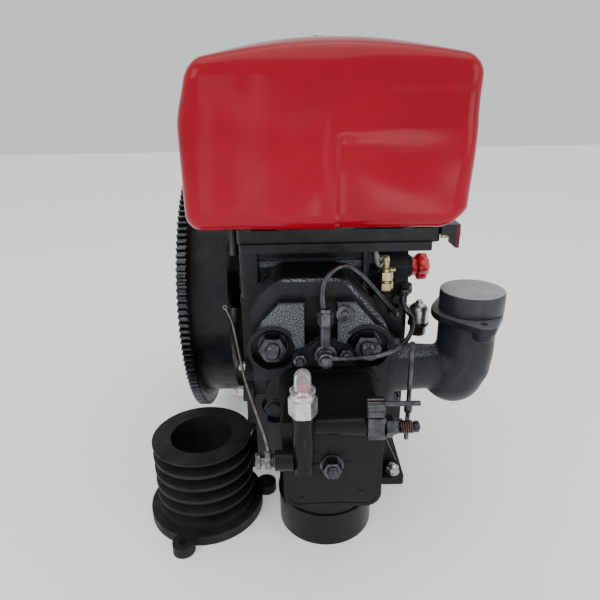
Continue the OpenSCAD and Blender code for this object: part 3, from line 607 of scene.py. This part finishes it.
def build_tank():
    """Tank shell with the filler's neck and the pad around it."""
    neck = lathe((CAP_X, CAP_Y, DISH_Z - 4), UP,
                 [(0, 20.2), (0, 23), (6.5, 23), (7.5, 22.4), (7.5, 20.8), (6.5, 20.2), (0, 20.2)], 48)
    pad = lathe((CAP_X, CAP_Y, DISH_Z - 3), UP,
                [(0, 31), (3.4, 30.5), (3.8, 24), (0, 23.2), (0, 31)], 64)
    add_mesh("fuel_tank_shell", *join(tank_shell(), neck, pad), "tank_red", "root", ("fuel_tank",), 30)


def build_tank_cap():
    """Knurled disc with a finger grip."""
    def knurl(angle, height):
        return 1.0 - 0.018 * max(0.0, math.sin(30 * angle)) if height < 8.2 else 1.0
    disc = lathe((CAP_X, CAP_Y, DISH_Z + 0.5), UP,
                 [(5.9, 24), (0, 24), (0, 26.6), (0.6, 27), (7.4, 27), (8.6, 25.8), (9.0, 23.5), (9.0, 12),
                  (9.6, 11), (9.6, 0.01)], 120, knurl)
    grip = rounded_box(Vector((CAP_X - 8, CAP_Y - 3.4, DISH_Z + 8)), Vector((16, 6.8, 11)), 3.0, 9)
    add_mesh("tank_cap_turned", *join(disc, grip), "bright_zinc", "tank_cap", ("tank_cap",), 40)


def arc_points(center, radius, start, stop, steps):
    """Points of an arc in the X-Z plane."""
    points = []
    for i in range(steps + 1):
        angle = math.radians(start + (stop - start) * i / steps)
        points.append((center[0] + radius * math.cos(angle), center[1], center[2] + radius * math.sin(angle)))
    return points


def outline_hull(circles, steps=48):
    """Convex outline around circles given as (x, y, r), in order."""
    points = []
    for i in range(steps * 3):
        angle = 2 * math.pi * i / (steps * 3)
        ray = Vector((math.cos(angle), math.sin(angle)))
        best = max(circles, key=lambda c: c[0] * ray.x + c[1] * ray.y + c[2])
        points.append((best[0] + best[2] * ray.x, best[1] + best[2] * ray.y))
    return points


def plate(outline, low, high, edge, place):
    """Flat plate with rounded rims; place(u, v, w) turns outline and height into a point."""
    count = len(outline)
    cx = sum(p[0] for p in outline) / count
    cy = sum(p[1] for p in outline) / count
    levels = [(low, edge), (low + edge * 0.3, edge * 0.3), (low + edge, 0.0),
              (high - edge, 0.0), (high - edge * 0.3, edge * 0.3), (high, edge)]
    verts = []
    for w, inset in levels:
        for u, v in outline:
            away = math.hypot(u - cx, v - cy)
            scale = (away - inset) / away
            verts.append(place(cx + (u - cx) * scale, cy + (v - cy) * scale, w))
    return verts, stitched(len(levels), count) + end_caps(len(levels), count)


def ball(radius, steps=18, low=-90.0):
    """Lathe profile of a sphere around the place."""
    angles = [math.radians(low + (90 - low) * i / steps) for i in range(steps + 1)]
    return [(radius * math.sin(a), max(radius * math.cos(a), 0.01)) for a in angles]


def build_elbow():
    """Cast elbow: level pipe, bulb at the corner and upright neck, melted into one skin, with its flanges."""
    level = lathe((73, PORT_Y + 2, PORT_Z + 4), RIGHT, [(0, 32), (12, 31), (40, 28.2), (80, 26)], 64)
    bulb = lathe((ELBOW_X - 14, ELBOW_Y, PORT_Z - 4), UP, ball(38), 64)
    heel = lathe((ELBOW_X - 6, ELBOW_Y, PORT_Z + 8), UP, ball(36.5), 64)
    neck = lathe((ELBOW_X - 1, ELBOW_Y, PORT_Z + 10), UP,
                 [(0, 32), (12, 33.8), (30, 33.6), (67, 33.4)], 64)
    skin = add_mesh("intake_elbow_cast", *join(level, bulb, heel, neck), "elbow_black", "root",
                    ("intake_elbow",), None)
    melt = skin.modifiers.new("one_skin", "REMESH")
    melt.mode = "VOXEL"
    melt.voxel_size = 1.6 * MM
    melt.use_smooth_shade = True
    soften = skin.modifiers.new("cast_fillets", "SMOOTH")
    soften.factor = 0.6
    soften.iterations = 34
    turn = math.radians(ELBOW_FLANGE_TURN)

    def on_top(u, v, w):
        """Point at height w, with u along the flange's long side and v across it."""
        return Vector((ELBOW_X - 3 + u * math.cos(turn) - v * math.sin(turn),
                       ELBOW_Y + u * math.sin(turn) + v * math.cos(turn), w))

    def at_port(u, v, w):
        """Point at sideways place w, with u to the back and v up from the port's middle."""
        return Vector((w, PORT_Y + u, PORT_Z + v))

    top_outline = outline_hull([(0, 0, 41), (ELBOW_HOLE_R, 0, 14), (-ELBOW_HOLE_R, 0, 14)])
    top = plate(top_outline, ELBOW_TOP - 9, ELBOW_TOP - 0.2, 1.4, on_top)
    side = plate(outline_hull([(0, 0, 31), (0, PORT_BOLT, 11), (0, -PORT_BOLT, 11)]), 73, 85, 1.6, at_port)
    bosses = [lathe(on_top(end * (ELBOW_HOLE_R - 1), 0, ELBOW_TOP - 19), UP,
                    [(0, 9), (1.5, 10.6), (10, 11.4), (11, 11.4)], 32) for end in (-1, 1)]
    add_mesh("intake_elbow_flanges", *join(top, side, *bosses), "elbow_black", "root", (), 38)
    # Thin black disc on the flange top: painted shade of a bolt hole, which is not cut
    hole = lathe(on_top(ELBOW_HOLE_R, 0, ELBOW_TOP - 0.3), UP, [(0, 3.8), (0.4, 3.8), (0.4, 0.01)], 32)
    add_mesh("elbow_flange_hole_shade", *hole, "soot", "root", (), 30)


def build_intake_cap():
    """Soft moulded cap, a little out of round; its top is a separate disc in a pale tone, a painted sheen of
    the light on the top face.
    """
    def soft(angle, height):
        return 1.0 + 0.003 * math.sin(2 * angle + 0.6) + 0.002 * math.sin(5 * angle)
    place = (ELBOW_X + 1.5, ELBOW_Y, ELBOW_TOP)
    side = [(0.3, 34.8), (0.3, 36.6), (1.2, 37.3), (20, 37.4), (21.0, 37.0), (21.8, 37.1), (23.4, 36.8),
            (24.4, 36.0)]
    top = [(24.3, 36.2), (25.0, 34.6), (25.3, 32), (25.3, 20), (25.1, 0.01)]
    add_mesh("intake_cap_moulded", *lathe(place, UP, side, 72, soft), "grey_plastic", "intake_cap",
             ("intake_cap",), 32)
    # Painted sheen: the top disc is pale for the light falling on it
    add_mesh("intake_cap_top", *lathe(place, UP, top, 72, soft), "pale_plastic", "intake_cap", (), 32)


# Routes of the pipes, hoses and lever wire, point by point along their middle lines
PRESSURE_ROUTE = [(-1, -262, 320), (-3, -258, 334), (-2, -254, 345), (2, -250, 354), (10, -245, 361),
                  (20, -238, 363), (30, -228, 357), (46, -218, 341), (65, -206, 317), (79, -195, 299),
                  (87, -187, 289), (91, -180, 283)]
RETURN_ROUTE = [(12, -277, 274), (20, -277, 274), (34, -278, 275), (50, -276, 276), (67, -267, 276),
                (85, -248, 275), (98, -223, 275), (105, -204, 278), (107, -190, 282), (103, -182, 288),
                (99, -177, 294), (99, -173, 301), (102, -170, 308)]
HOSE_ROUTES = [[(75.5, -150, 344), (72, -150, 344), (68, -153, 350), (64, -160, 361), (62, -163, 369),
                (62, -163, 375)],
               [(75.5, -152, 336), (72, -152, 336), (68, -157, 342), (65, -164, 355), (64, -168, 368),
                (64, -168, 375)]]
WIRE_ROUTE = [(-60, -340, 204), (-60, -340, 212), (-63, -333, 221), (-69, -318, 229), (-85, -276, 250),
              (-94, -246, 269), (-103, -216, 290), (-112, -198, 301)]


def build_pipes():
    """Both metal pipes with their end fittings, and the two clipped hoses."""
    add_mesh("pressure_pipe_bent", *tube(smooth_path(PRESSURE_ROUTE), 3.0, 18), "dark_steel", "root",
             ("pressure_pipe",), 50)
    banjo = lathe((0, -272, INJECTOR_Z), FRONT, [(0, 8.4), (6.5, 8.4), (7.2, 7.6), (7.2, 0.01)], 36)
    bolt = hexagon((0, -279.2, INJECTOR_Z), FRONT, 12, 4.6)
    stub = lathe((4, -277, INJECTOR_Z + 2), RIGHT, [(0, 4.2), (7, 4.2), (8, 3.4), (8, 0.01)], 24)
    nut = hexagon((102, -171.5, 306), (-0.1, 1, 0.2), 9, 6)
    ferrule = lathe((103.5, -183.5, 287.0), (-0.5, 0.6, 0.62), [(0, 3.0), (0, 3.9), (6, 3.9), (6, 3.0)], 20)
    bent = tube(smooth_path(RETURN_ROUTE), 2.7, 16)
    add_mesh("return_pipe_bent", *join(bent, stub, ferrule), "dark_steel", "root", ("return_pipe",), 50)
    add_mesh("return_banjo", *join(banjo, bolt), "grey_steel", "root", (), 35)
    add_mesh("return_nut", *nut, "dark_steel", "root", (), 35)
    hoses = [tube(smooth_path(route), 2.6, 14) for route in HOSE_ROUTES]
    clips = []
    for route in HOSE_ROUTES:
        start = Vector(route[0]) + Vector((-1.6, -0.6, 1.6))
        clips.append(tube(helix(start, (-0.8, -0.35, 0.95), 2.9, 1.1, 2), 0.5, 8))
    add_mesh("fuel_hoses_bent", *join(*hoses), "hose_grey", "root", ("fuel_hoses",), 50)
    add_mesh("hose_clips", *join(*clips), "bright_zinc", "root", (), 50)


def build_injector():
    """Injector body and upright neck, its union nut, and the round plug on the head."""
    body = lathe((0, PAD_Y, INJECTOR_Z), FRONT,
                 [(-70, 8.8), (0, 8.8), (0, 13), (15, 13), (17, 12), (18, 10.5), (18, 9.6), (18.2, 9.4)], 48)
    neck = lathe((0, INJECTOR_Y, INJECTOR_Z + 5), UP, [(0, 6.4), (28, 6.0), (29, 7.2), (31, 7.2)], 32)
    hexed = hexagon((0, -267.5, INJECTOR_Z), FRONT, 19, 4.5)
    add_mesh("injector_body", *join(body, neck, hexed), "dark_steel", "root", ("injector",), 35)
    collar = lathe((0, INJECTOR_Y, INJECTOR_Z + 49.5), UP, [(0, 6.4), (3, 5.2), (4, 3.2), (4, 0.01)], 28)
    nut = hexagon((0, INJECTOR_Y, INJECTOR_Z + 36), UP, 15, 13.5)
    add_mesh("injector_nut", *join(nut, collar), "grey_steel", "root", (), 35)
    plug = lathe((21, -251.4, 314), FRONT,
                 [(0, 9.8), (1.6, 9.8), (2.4, 9.0), (2.4, 6.8), (1.2, 6.4), (1.2, 4.4), (2.8, 4.0),
                  (3.2, 3.2), (3.2, 0.01)], 36)
    add_mesh("head_plug", *plug, "dark_steel", "root", (), 35)


def nut_set(place, axis, across, height, stud, out, wash=None):
    """Washer, chamfered nut and threaded stud end."""
    axis = Vector(axis)
    seat = Vector(place)
    parts = []
    if wash:
        parts.append(washer(seat, axis, wash, stud, 3.0))
        seat = seat + axis * 3.0
    parts.append(hexagon(seat, axis, across, height, stud + 0.05))
    parts.append(threaded_end(seat - axis * 0.5, axis, stud, height + out + 0.5))
    return join(*parts)


def build_head_nuts():
    """Nuts of the head studs (the lower pair in the head's black casting material), of the injector clamp and
    of the cover.
    """
    stud_x = (CYL_X - STUD_DX, CYL_X + STUD_DX)
    upper = [nut_set((x, PAD_Y + 14, STUD_HIGH_Z), FRONT, 27, 15, 8, 7, 16.7) for x in stud_x]
    lower = [nut_set((x, PAD_Y + 21, STUD_LOW_Z), FRONT, 24, 13, 8, 3, 14.9) for x in stud_x]
    add_mesh("head_nuts", *join(*upper), "dark_steel", "root", ("head_studs",), 30)
    # Lower pair in the head's black casting material, so that it merges with the head
    add_mesh("head_nuts_low_black", *join(*lower), "cast_black", "root", (), 30)
    clamps = [nut_set((x, -259, z), FRONT, 13, 7, 4, 3) for x, z in ((-27, 266), (22, 271))]
    add_mesh("clamp_nut_pair", *join(*clamps), "grey_steel", "root", ("clamp_nuts",), 30)
    cover = join(washer((COVER_NUT_X, COVER_Y, COVER_NUT_Z), FRONT, 12, 5, 1.5),
                 hexagon((COVER_NUT_X, COVER_Y - 1.5, COVER_NUT_Z), FRONT, 17, 9.5, 5.05),
                 threaded_end((COVER_NUT_X, COVER_Y - 1, COVER_NUT_Z), FRONT, 5, 16, 1.5))
    add_mesh("cover_dome_nut", *cover, "dark_steel", "root", ("cover_nut",), 30)


def build_pipe_bolts():
    """Bolts of the feet, the intake elbow and the exhaust port."""
    feet = [join(washer((x, y, 12), UP, 10, 5, 2.5), hexagon((x, y, 14.5), UP, 15, 8, 5.05),
                 threaded_end((x, y, 14), UP, 5, 12.4, 1.5)) for x, y in FOOT_BOLTS]
    add_mesh("foot_bolt_set", *join(*feet), "bright_zinc", "root", ("foot_bolts",), 30)
    elbow = []
    for z in (PORT_Z - PORT_BOLT, PORT_Z + PORT_BOLT):
        elbow.append(join(hexagon((85, PORT_Y, z), RIGHT, 13, 7, 5.05),
                          threaded_end((86, PORT_Y, z), RIGHT, 5, 10, 1.5)))
    add_mesh("elbow_bolt_set", *join(*elbow), "dark_steel", "root", ("elbow_bolts",), 30)
    port = []
    for y in (PORT_Y - 45, PORT_Y + 15):
        port.append(join(hexagon((-92, y, 214), LEFT, 13, 7, 4.05),
                         threaded_end((-93, y, 214), LEFT, 4, 11, 1.25)))
    add_mesh("port_nut_set", *join(*port), "bright_zinc", "root", ("port_nuts",), 30)


def build_case_bolts():
    """Bolt heads round the gear case cover and the crankshaft's end cover, and the flywheel's nut."""
    case = []
    for y in CASE_BOLT_Y:
        for z in CASE_BOLT_Z:
            middle_one = (y, z) == (CASE_BOLT_Y[1], CASE_BOLT_Z[1])
            if not middle_one:
                case.append(join(washer((CASE_RIGHT, y, z), RIGHT, 8.6, 2, 1.4),
                                 hexagon((CASE_RIGHT + 1.4, y, z), RIGHT, 13, 4.6)))
    for i in range(END_COVER_BOLTS):
        angle = math.radians(360 / END_COVER_BOLTS * (i + 0.5))
        y, z = CRANK_Y + END_COVER_R * math.cos(angle), CRANK_Z + END_COVER_R * math.sin(angle)
        case.append(hexagon((CASE_LEFT - 12, y, z), LEFT, 13, 6))
    add_mesh("case_bolt_heads", *join(*case), "dark_steel", "root", ("case_bolts",), 30)
    wheel = hexagon((-190, CRANK_Y, CRANK_Z), LEFT, 60, 20, 24.05, steps=96)
    add_mesh("flywheel_lock_nut", *wheel, "dark_steel", "crank", ("flywheel_nut",), 30)


def build_knob():
    """Lobed screw plug of the oil filler."""
    def lobes(angle, out):
        if out < 5.5:
            return 1.0
        return 1.0 + 0.24 * step(5.5, 8.5, out) * (0.5 + 0.5 * math.cos(5 * angle + 0.5)) ** 0.8
    profile = [(-12, 9.5), (0.3, 9.5), (0.3, 12.6), (1.2, 13.2), (4.2, 12.4), (6.8, 12.2), (8.2, 14.0),
               (9.6, 14.8), (18.6, 14.8), (20.4, 14.0), (21.2, 12.6), (20.8, 10.5), (20.8, 9.4), (23.6, 9.0),
               (24.6, 7.6), (24.8, 0.01)]
    add_mesh("oil_filler_knob", *lathe(KNOB, RIGHT, profile, 96, lobes), "red_plastic", "oil_knob",
             ("oil_knob",), 45)


def build_indicator():
    """Oil pressure indicator: stand, hexagon body, clear dome and the red pin inside."""
    base = Vector((INDICATOR_X, SHAFT_Y, 0))

    def at(height):
        return base + Vector((0, 0, height))

    post = lathe(at(183), UP, [(0, 8.6), (1.4, 10), (40, 10), (41, 9.4), (60, 9.4), (61, 10.6), (65.5, 10.6),
                               (67, 9.6), (67, 6)], 40)
    socket = lathe(at(228), BACK, [(0, 8), (10, 8)], 32)
    add_mesh("indicator_stand", *join(post, socket), "cover_black", "root", ("indicator_tube",), 35)
    body = join(hexagon(at(250), UP, 24, 18.5, 5.2),
                lathe(at(268), UP, [(0, 11.6), (2.2, 11.6), (3.2, 10.8), (5, 10.6), (5, 5.4)], 48))
    add_mesh("indicator_collar", *body, "pale_zinc", "root", ("indicator_body",), 30)
    dome = [(0, 11.6), (0.6, 12), (3.2, 12), (4, 11.2), (4.2, 8.3), (15, 8.0)]
    dome += [(16 + 8 * math.sin(math.radians(a)), 8 * math.cos(math.radians(a))) for a in range(10, 90, 10)]
    dome += [(24, 0.01), (22.2, 0.01), (20, 5.0), (15, 6.2), (0.2, 6.2), (0, 11.6)]
    add_mesh("indicator_window", *lathe(at(273), UP, dome, 48), "clear_plastic", "root",
             ("indicator_dome",), 50)
    pin = lathe(at(252), UP,
                [(0, 2.5), (23, 2.5), (23, 4.1), (23.8, 4.5), (30, 4.5), (31, 3.8), (31, 0.01)], 28)
    add_mesh("indicator_pin", *pin, "red_plastic", "indicator_float", ("indicator_float",), 40)


def build_relief_lever():
    """Decompression lever: stepped shaft, wire and the loop at its end, and the spring on the shaft."""
    shaft = lathe((-72, SHAFT_Y, SHAFT_Z), RIGHT,
                  [(0, 7.2), (0.8, 8), (4.4, 8), (5, 7.4), (5, 4), (9, 4), (9, 7.6), (9.6, 8), (14.6, 8),
                   (15, 7.4), (15, 4), (35.5, 4)], 36)
    boss = lathe((-60, SHAFT_Y, 203), UP, [(0, 4.4), (4.6, 4.0), (5.2, 3.0), (5.2, 0.01)], 20)
    wire = tube(smooth_path(WIRE_ROUTE), 1.6, 12)
    loop = tube(helix((-112.6, -196.8, 301.6), (0.4, 0.9, 0.4), 3.2, 0.6, 1.0, 20), 1.2, 8)
    add_mesh("relief_lever_wire", *join(shaft, boss, wire, loop), "dull_zinc", "relief_lever",
             ("relief_lever",), 40)
    spring = tube(helix((-56.2, SHAFT_Y, SHAFT_Z), RIGHT, 6.2, 1.5, 2.2), 0.65, 8)
    add_mesh("relief_torsion_spring", *spring, "dull_zinc", "root", ("relief_spring",), 50)


def build_control_levers():
    """Upright control rod, and the ridged clamp with its screw and coil spring."""
    coils = tube(helix((66.6, SPRING_Y, SPRING_Z), RIGHT, 5.6, 2.1, 6.4, 28), 0.8, 10)
    add_mesh("lever_coil_spring", *coils, "copper_spring", "root", ("lever_spring",), 50)
    rod = lathe((78, -321, 206), UP,
                [(0, 1.9), (0.6, 2.3), (31.5, 2.3), (32, 3.6), (33, 4), (39, 4), (40, 3.4), (40, 2.3),
                 (101, 2.1), (101.6, 2.8), (106, 2.8), (107, 2.0), (107, 0.01)], 28)
    add_mesh("control_rod_turned", *rod, "dark_steel", "control_rod", ("control_rod",), 40)

    def ridged(angle, out):
        return 1.0 + 0.075 * (0.5 + 0.5 * math.cos(12 * angle))
    clamp = lathe((35, SPRING_Y, 252), RIGHT,
                  [(0, 8.6), (0.9, 9.6), (16.1, 9.6), (17, 8.6), (17, 0.01)], 96, ridged)
    block = rounded_box(Vector((36, -342, 219)), Vector((18, 11.6, 25)), 2.4, 11)
    nut = hexagon((54, SPRING_Y, 231), RIGHT, 19, 7)
    lump = lathe((61, SPRING_Y, 231), RIGHT, [(0, 8.6), (3.5, 8.0), (5, 6.4), (5, 4)], 32)
    screw = threaded_end((66, SPRING_Y, SPRING_Z), RIGHT, 4, 21, 1.4)
    tip = hexagon((81, SPRING_Y, SPRING_Z), RIGHT, 9.6, 5)
    bar = lathe((51, -332, 254), RIGHT, [(0, 2.6), (35, 2.6), (36, 2.0), (36, 0.01)], 20)
    add_mesh("lever_clamp", *join(clamp, block, nut, lump), "dark_steel", "root", ("lever_bracket",), 35)
    add_mesh("lever_screw", *join(screw, tip, bar), "dark_steel", "root", (), 35)


def build_fuel_fittings():
    """Unions on the injection pump, and the fuel filter's head and bowl."""
    washer_ring = lathe((UNION_X, UNION_Y, 315), UP, [(0, 8.4), (0.6, 9.3), (2.4, 9.3), (3, 8.4)], 36)
    tip = lathe((UNION_X, UNION_Y, 329), UP,
                [(0, 7.2), (0.6, 7.8), (3.4, 7.8), (4, 6.8), (4, 4.4), (12, 4.4), (12.4, 5.0), (14, 4.9),
                 (17.5, 4.2), (19, 3.2), (19, 0.01)], 36)
    branch = lathe((UNION_X + 4, UNION_Y, 330), RIGHT, [(0, 3), (7.4, 3), (8, 2.4), (8, 0.01)], 20)
    union = join(hexagon((UNION_X, UNION_Y, 305), UP, 18, 10), washer_ring,
                 hexagon((UNION_X, UNION_Y, 318), UP, 17, 11), tip, branch)
    add_mesh("pump_union", *union, "yellow_zinc", "root", ("pump_fittings",), 32)
    crown = [(14 + height, r) for height, r in ball(12.8, 12, 0.0)]
    head = join(lathe((FILTER_X, FILTER_Y, 255), UP, [(0, 11.8), (0.8, 12.8), (14, 12.8)] + crown, 48),
                rounded_box(Vector((112.8, -139, 262)), Vector((11, 21, 10)), 2.2, 7),
                lathe((FILTER_X, FILTER_Y, 281), UP, [(0, 4.6), (2.4, 4.4), (3, 3.6), (3, 0.01)], 24))
    add_mesh("filter_head_cast", *head, "aluminium", "root", ("filter_head",), 35)
    bowl = lathe((FILTER_X, FILTER_Y, 236), UP,
                 [(0, 0.01), (0, 7), (1.2, 9.4), (3.2, 10.4), (14, 10.6), (14.6, 13.2), (15.2, 13.8),
                  (18.4, 13.8), (19, 13.2)], 48)
    add_mesh("filter_bowl_moulded", *bowl, "bowl_dark", "root", ("filter_bowl",), 40)


def build_cover_relief():
    """Raised work on the rocker cover's face: star round the nut, two corner pips, bead and bulge end."""
    face = COVER_Y - 0.1
    rays = []
    for k in range(8):
        angle = math.radians(45 * k + 4)
        near, far = [Vector((COVER_NUT_X + d * math.cos(angle), face, COVER_NUT_Z + 2 + d * math.sin(angle)))
                     for d in (12.5, 21.5)]
        rays.append(tube([near + (far - near) * (i / 6) for i in range(7)], lambda t: 1.25 - 0.8 * t, 10))
    pips = [lathe((x, face, z), FRONT, [(-0.5, 3.8), (0.4, 3.4), (1.1, 2.2), (1.4, 0.01)], 24)
            for x, z in ((-27, 141), (33, 148))]
    bead = [(-42.8, face, 176 - 6 * i) for i in range(5)]
    bead += arc_points((-30, face, 146), 12.8, 180, 270, 9)
    bead += [(-30 + 68 * i / 8, face, 133.2 + 1.2 * math.sin(math.pi * i / 8)) for i in range(1, 8)]
    bead += arc_points((38, face, 146), 12.8, -90, 0, 9)
    bead += [(50.8, face, 146 + 6 * i) for i in range(1, 6)]
    end = lathe((33.5, -329, 229), RIGHT,
                [(0, 10.9), (2.5, 10.8), (5, 9.4), (6.6, 6.8), (7.2, 3.4), (7.4, 0.01)], 40)
    add_mesh("rocker_cover_relief", *join(*rays, *pips, tube(bead, 0.8, 10), end), "cover_black", "root",
             (), 50)


def round_castings():
    """Rounded edges on the frame's own castings and machined parts."""
    widths = {"crankcase": 2.2, "bearing_cover": 1.4, "gear_case_cover": 2.6, "mounting_feet": 1.6,
              "cylinder_head": 2.2, "injector_clamp": 1.2, "rocker_cover": 3.4, "tank_seat": 2.0,
              "tank_bracket": 0.8, "injection_pump": 1.4, "exhaust_flange": 1.2, "relief_housing": 1.0,
              "flywheel": 1.6, "ring_gear": 0.3, "belt_pulley": 1.2, "air_cleaner": 1.6, "tank_bolts": 0.4,
              "rocker_shaft": 0.8, "piston": 0.4}
    for name, width in widths.items():
        round_edges(NODES[name], width, 3 if width > 1 else 2)


build_tank()
build_tank_cap()
build_elbow()
build_intake_cap()
build_pipes()
build_injector()
build_head_nuts()
build_pipe_bolts()
build_case_bolts()
build_knob()
build_indicator()
build_relief_lever()
build_control_levers()
build_fuel_fittings()
build_cover_relief()
round_castings()


# ---------------------------------------------------------------- stage


def area_light(name, size, energy, place, target, color=(1.0, 1.0, 1.0)):
    """Rectangular light in metres and watts, aimed at a target."""
    data = bpy.data.lights.new(name, "AREA")
    data.shape = "RECTANGLE"
    data.size, data.size_y = size
    data.energy = energy
    data.color = color
    lamp = bpy.data.objects.new(name, data)
    bpy.context.scene.collection.objects.link(lamp)
    lamp.location = place
    aim = Vector(target) - Vector(place)
    lamp.rotation_euler = aim.to_track_quat("-Z", "Y").to_euler()


def make_stage():
    """White paper floor, even studio sky, three soft lights and two strips for the reflections."""
    mesh = bpy.data.meshes.new("floor")
    reach = 6.0
    mesh.from_pydata([(-reach, -reach, 0), (reach, -reach, 0), (reach, reach, 0), (-reach, reach, 0)],
                     [], [(0, 1, 2, 3)])
    floor = bpy.data.objects.new("floor", mesh)
    bpy.context.scene.collection.objects.link(floor)
    mat = new_material("floor_paper", (0.9, 0.9, 0.9), roughness=0.9, specular=0.1)
    paper = mat.node_tree.nodes["Principled BSDF"]
    paper.inputs["Emission Color"].default_value = (0.97, 0.985, 1.0, 1.0)
    paper.inputs["Emission Strength"].default_value = 0.34
    mesh.materials.append(mat)
    world = bpy.data.worlds.new("studio")
    world.use_nodes = True
    sky = world.node_tree.nodes["Background"]
    sky.inputs["Color"].default_value = (0.955, 0.98, 1.0, 1.0)
    sky.inputs["Strength"].default_value = 0.84
    bpy.context.scene.world = world
    middle = (0.0, -0.1, 0.3)
    area_light("key_left", (1.2, 1.2), 12, (-1.3, -1.5, 1.6), middle)
    area_light("fill_right", (1.0, 1.4), 9, (1.5, -1.1, 1.0), middle)
    warm, cool = (1.0, 0.9, 0.78), (0.86, 0.9, 1.0)
    area_light("top_soft", (1.4, 1.4), 10, (0.1, -0.2, 2.0), middle, warm)
    area_light("strip_front", (0.16, 1.3), 0.7, (-0.30, -1.75, 0.46), (-0.09, -0.28, 0.5), cool)
    area_light("strip_low", (0.5, 0.25), 0.9, (0.32, -1.6, 0.12), (0.02, -0.28, 0.44))


def make_camera():
    """Camera in front of the cylinder head, a little above the tank's foot and looking down."""
    place = Vector((-0.026, -0.750, 0.520))
    pitch, roll = 0.363, -0.018
    data = bpy.data.cameras.new("camera")
    data.sensor_width = 36.0
    data.lens = 30.6
    camera = bpy.data.objects.new("camera", data)
    bpy.context.scene.collection.objects.link(camera)
    forward = Vector((0.0, math.cos(pitch), -math.sin(pitch)))
    level_right = Vector((1.0, 0.0, 0.0))
    level_up = Vector((0.0, math.sin(pitch), math.cos(pitch)))
    right = level_right * math.cos(roll) + level_up * math.sin(roll)
    up = level_up * math.cos(roll) - level_right * math.sin(roll)
    turn = Matrix((right, up, -forward)).transposed().to_4x4()
    camera.matrix_world = Matrix.Translation(place) @ turn
    bpy.context.scene.camera = camera


make_stage()
make_camera()
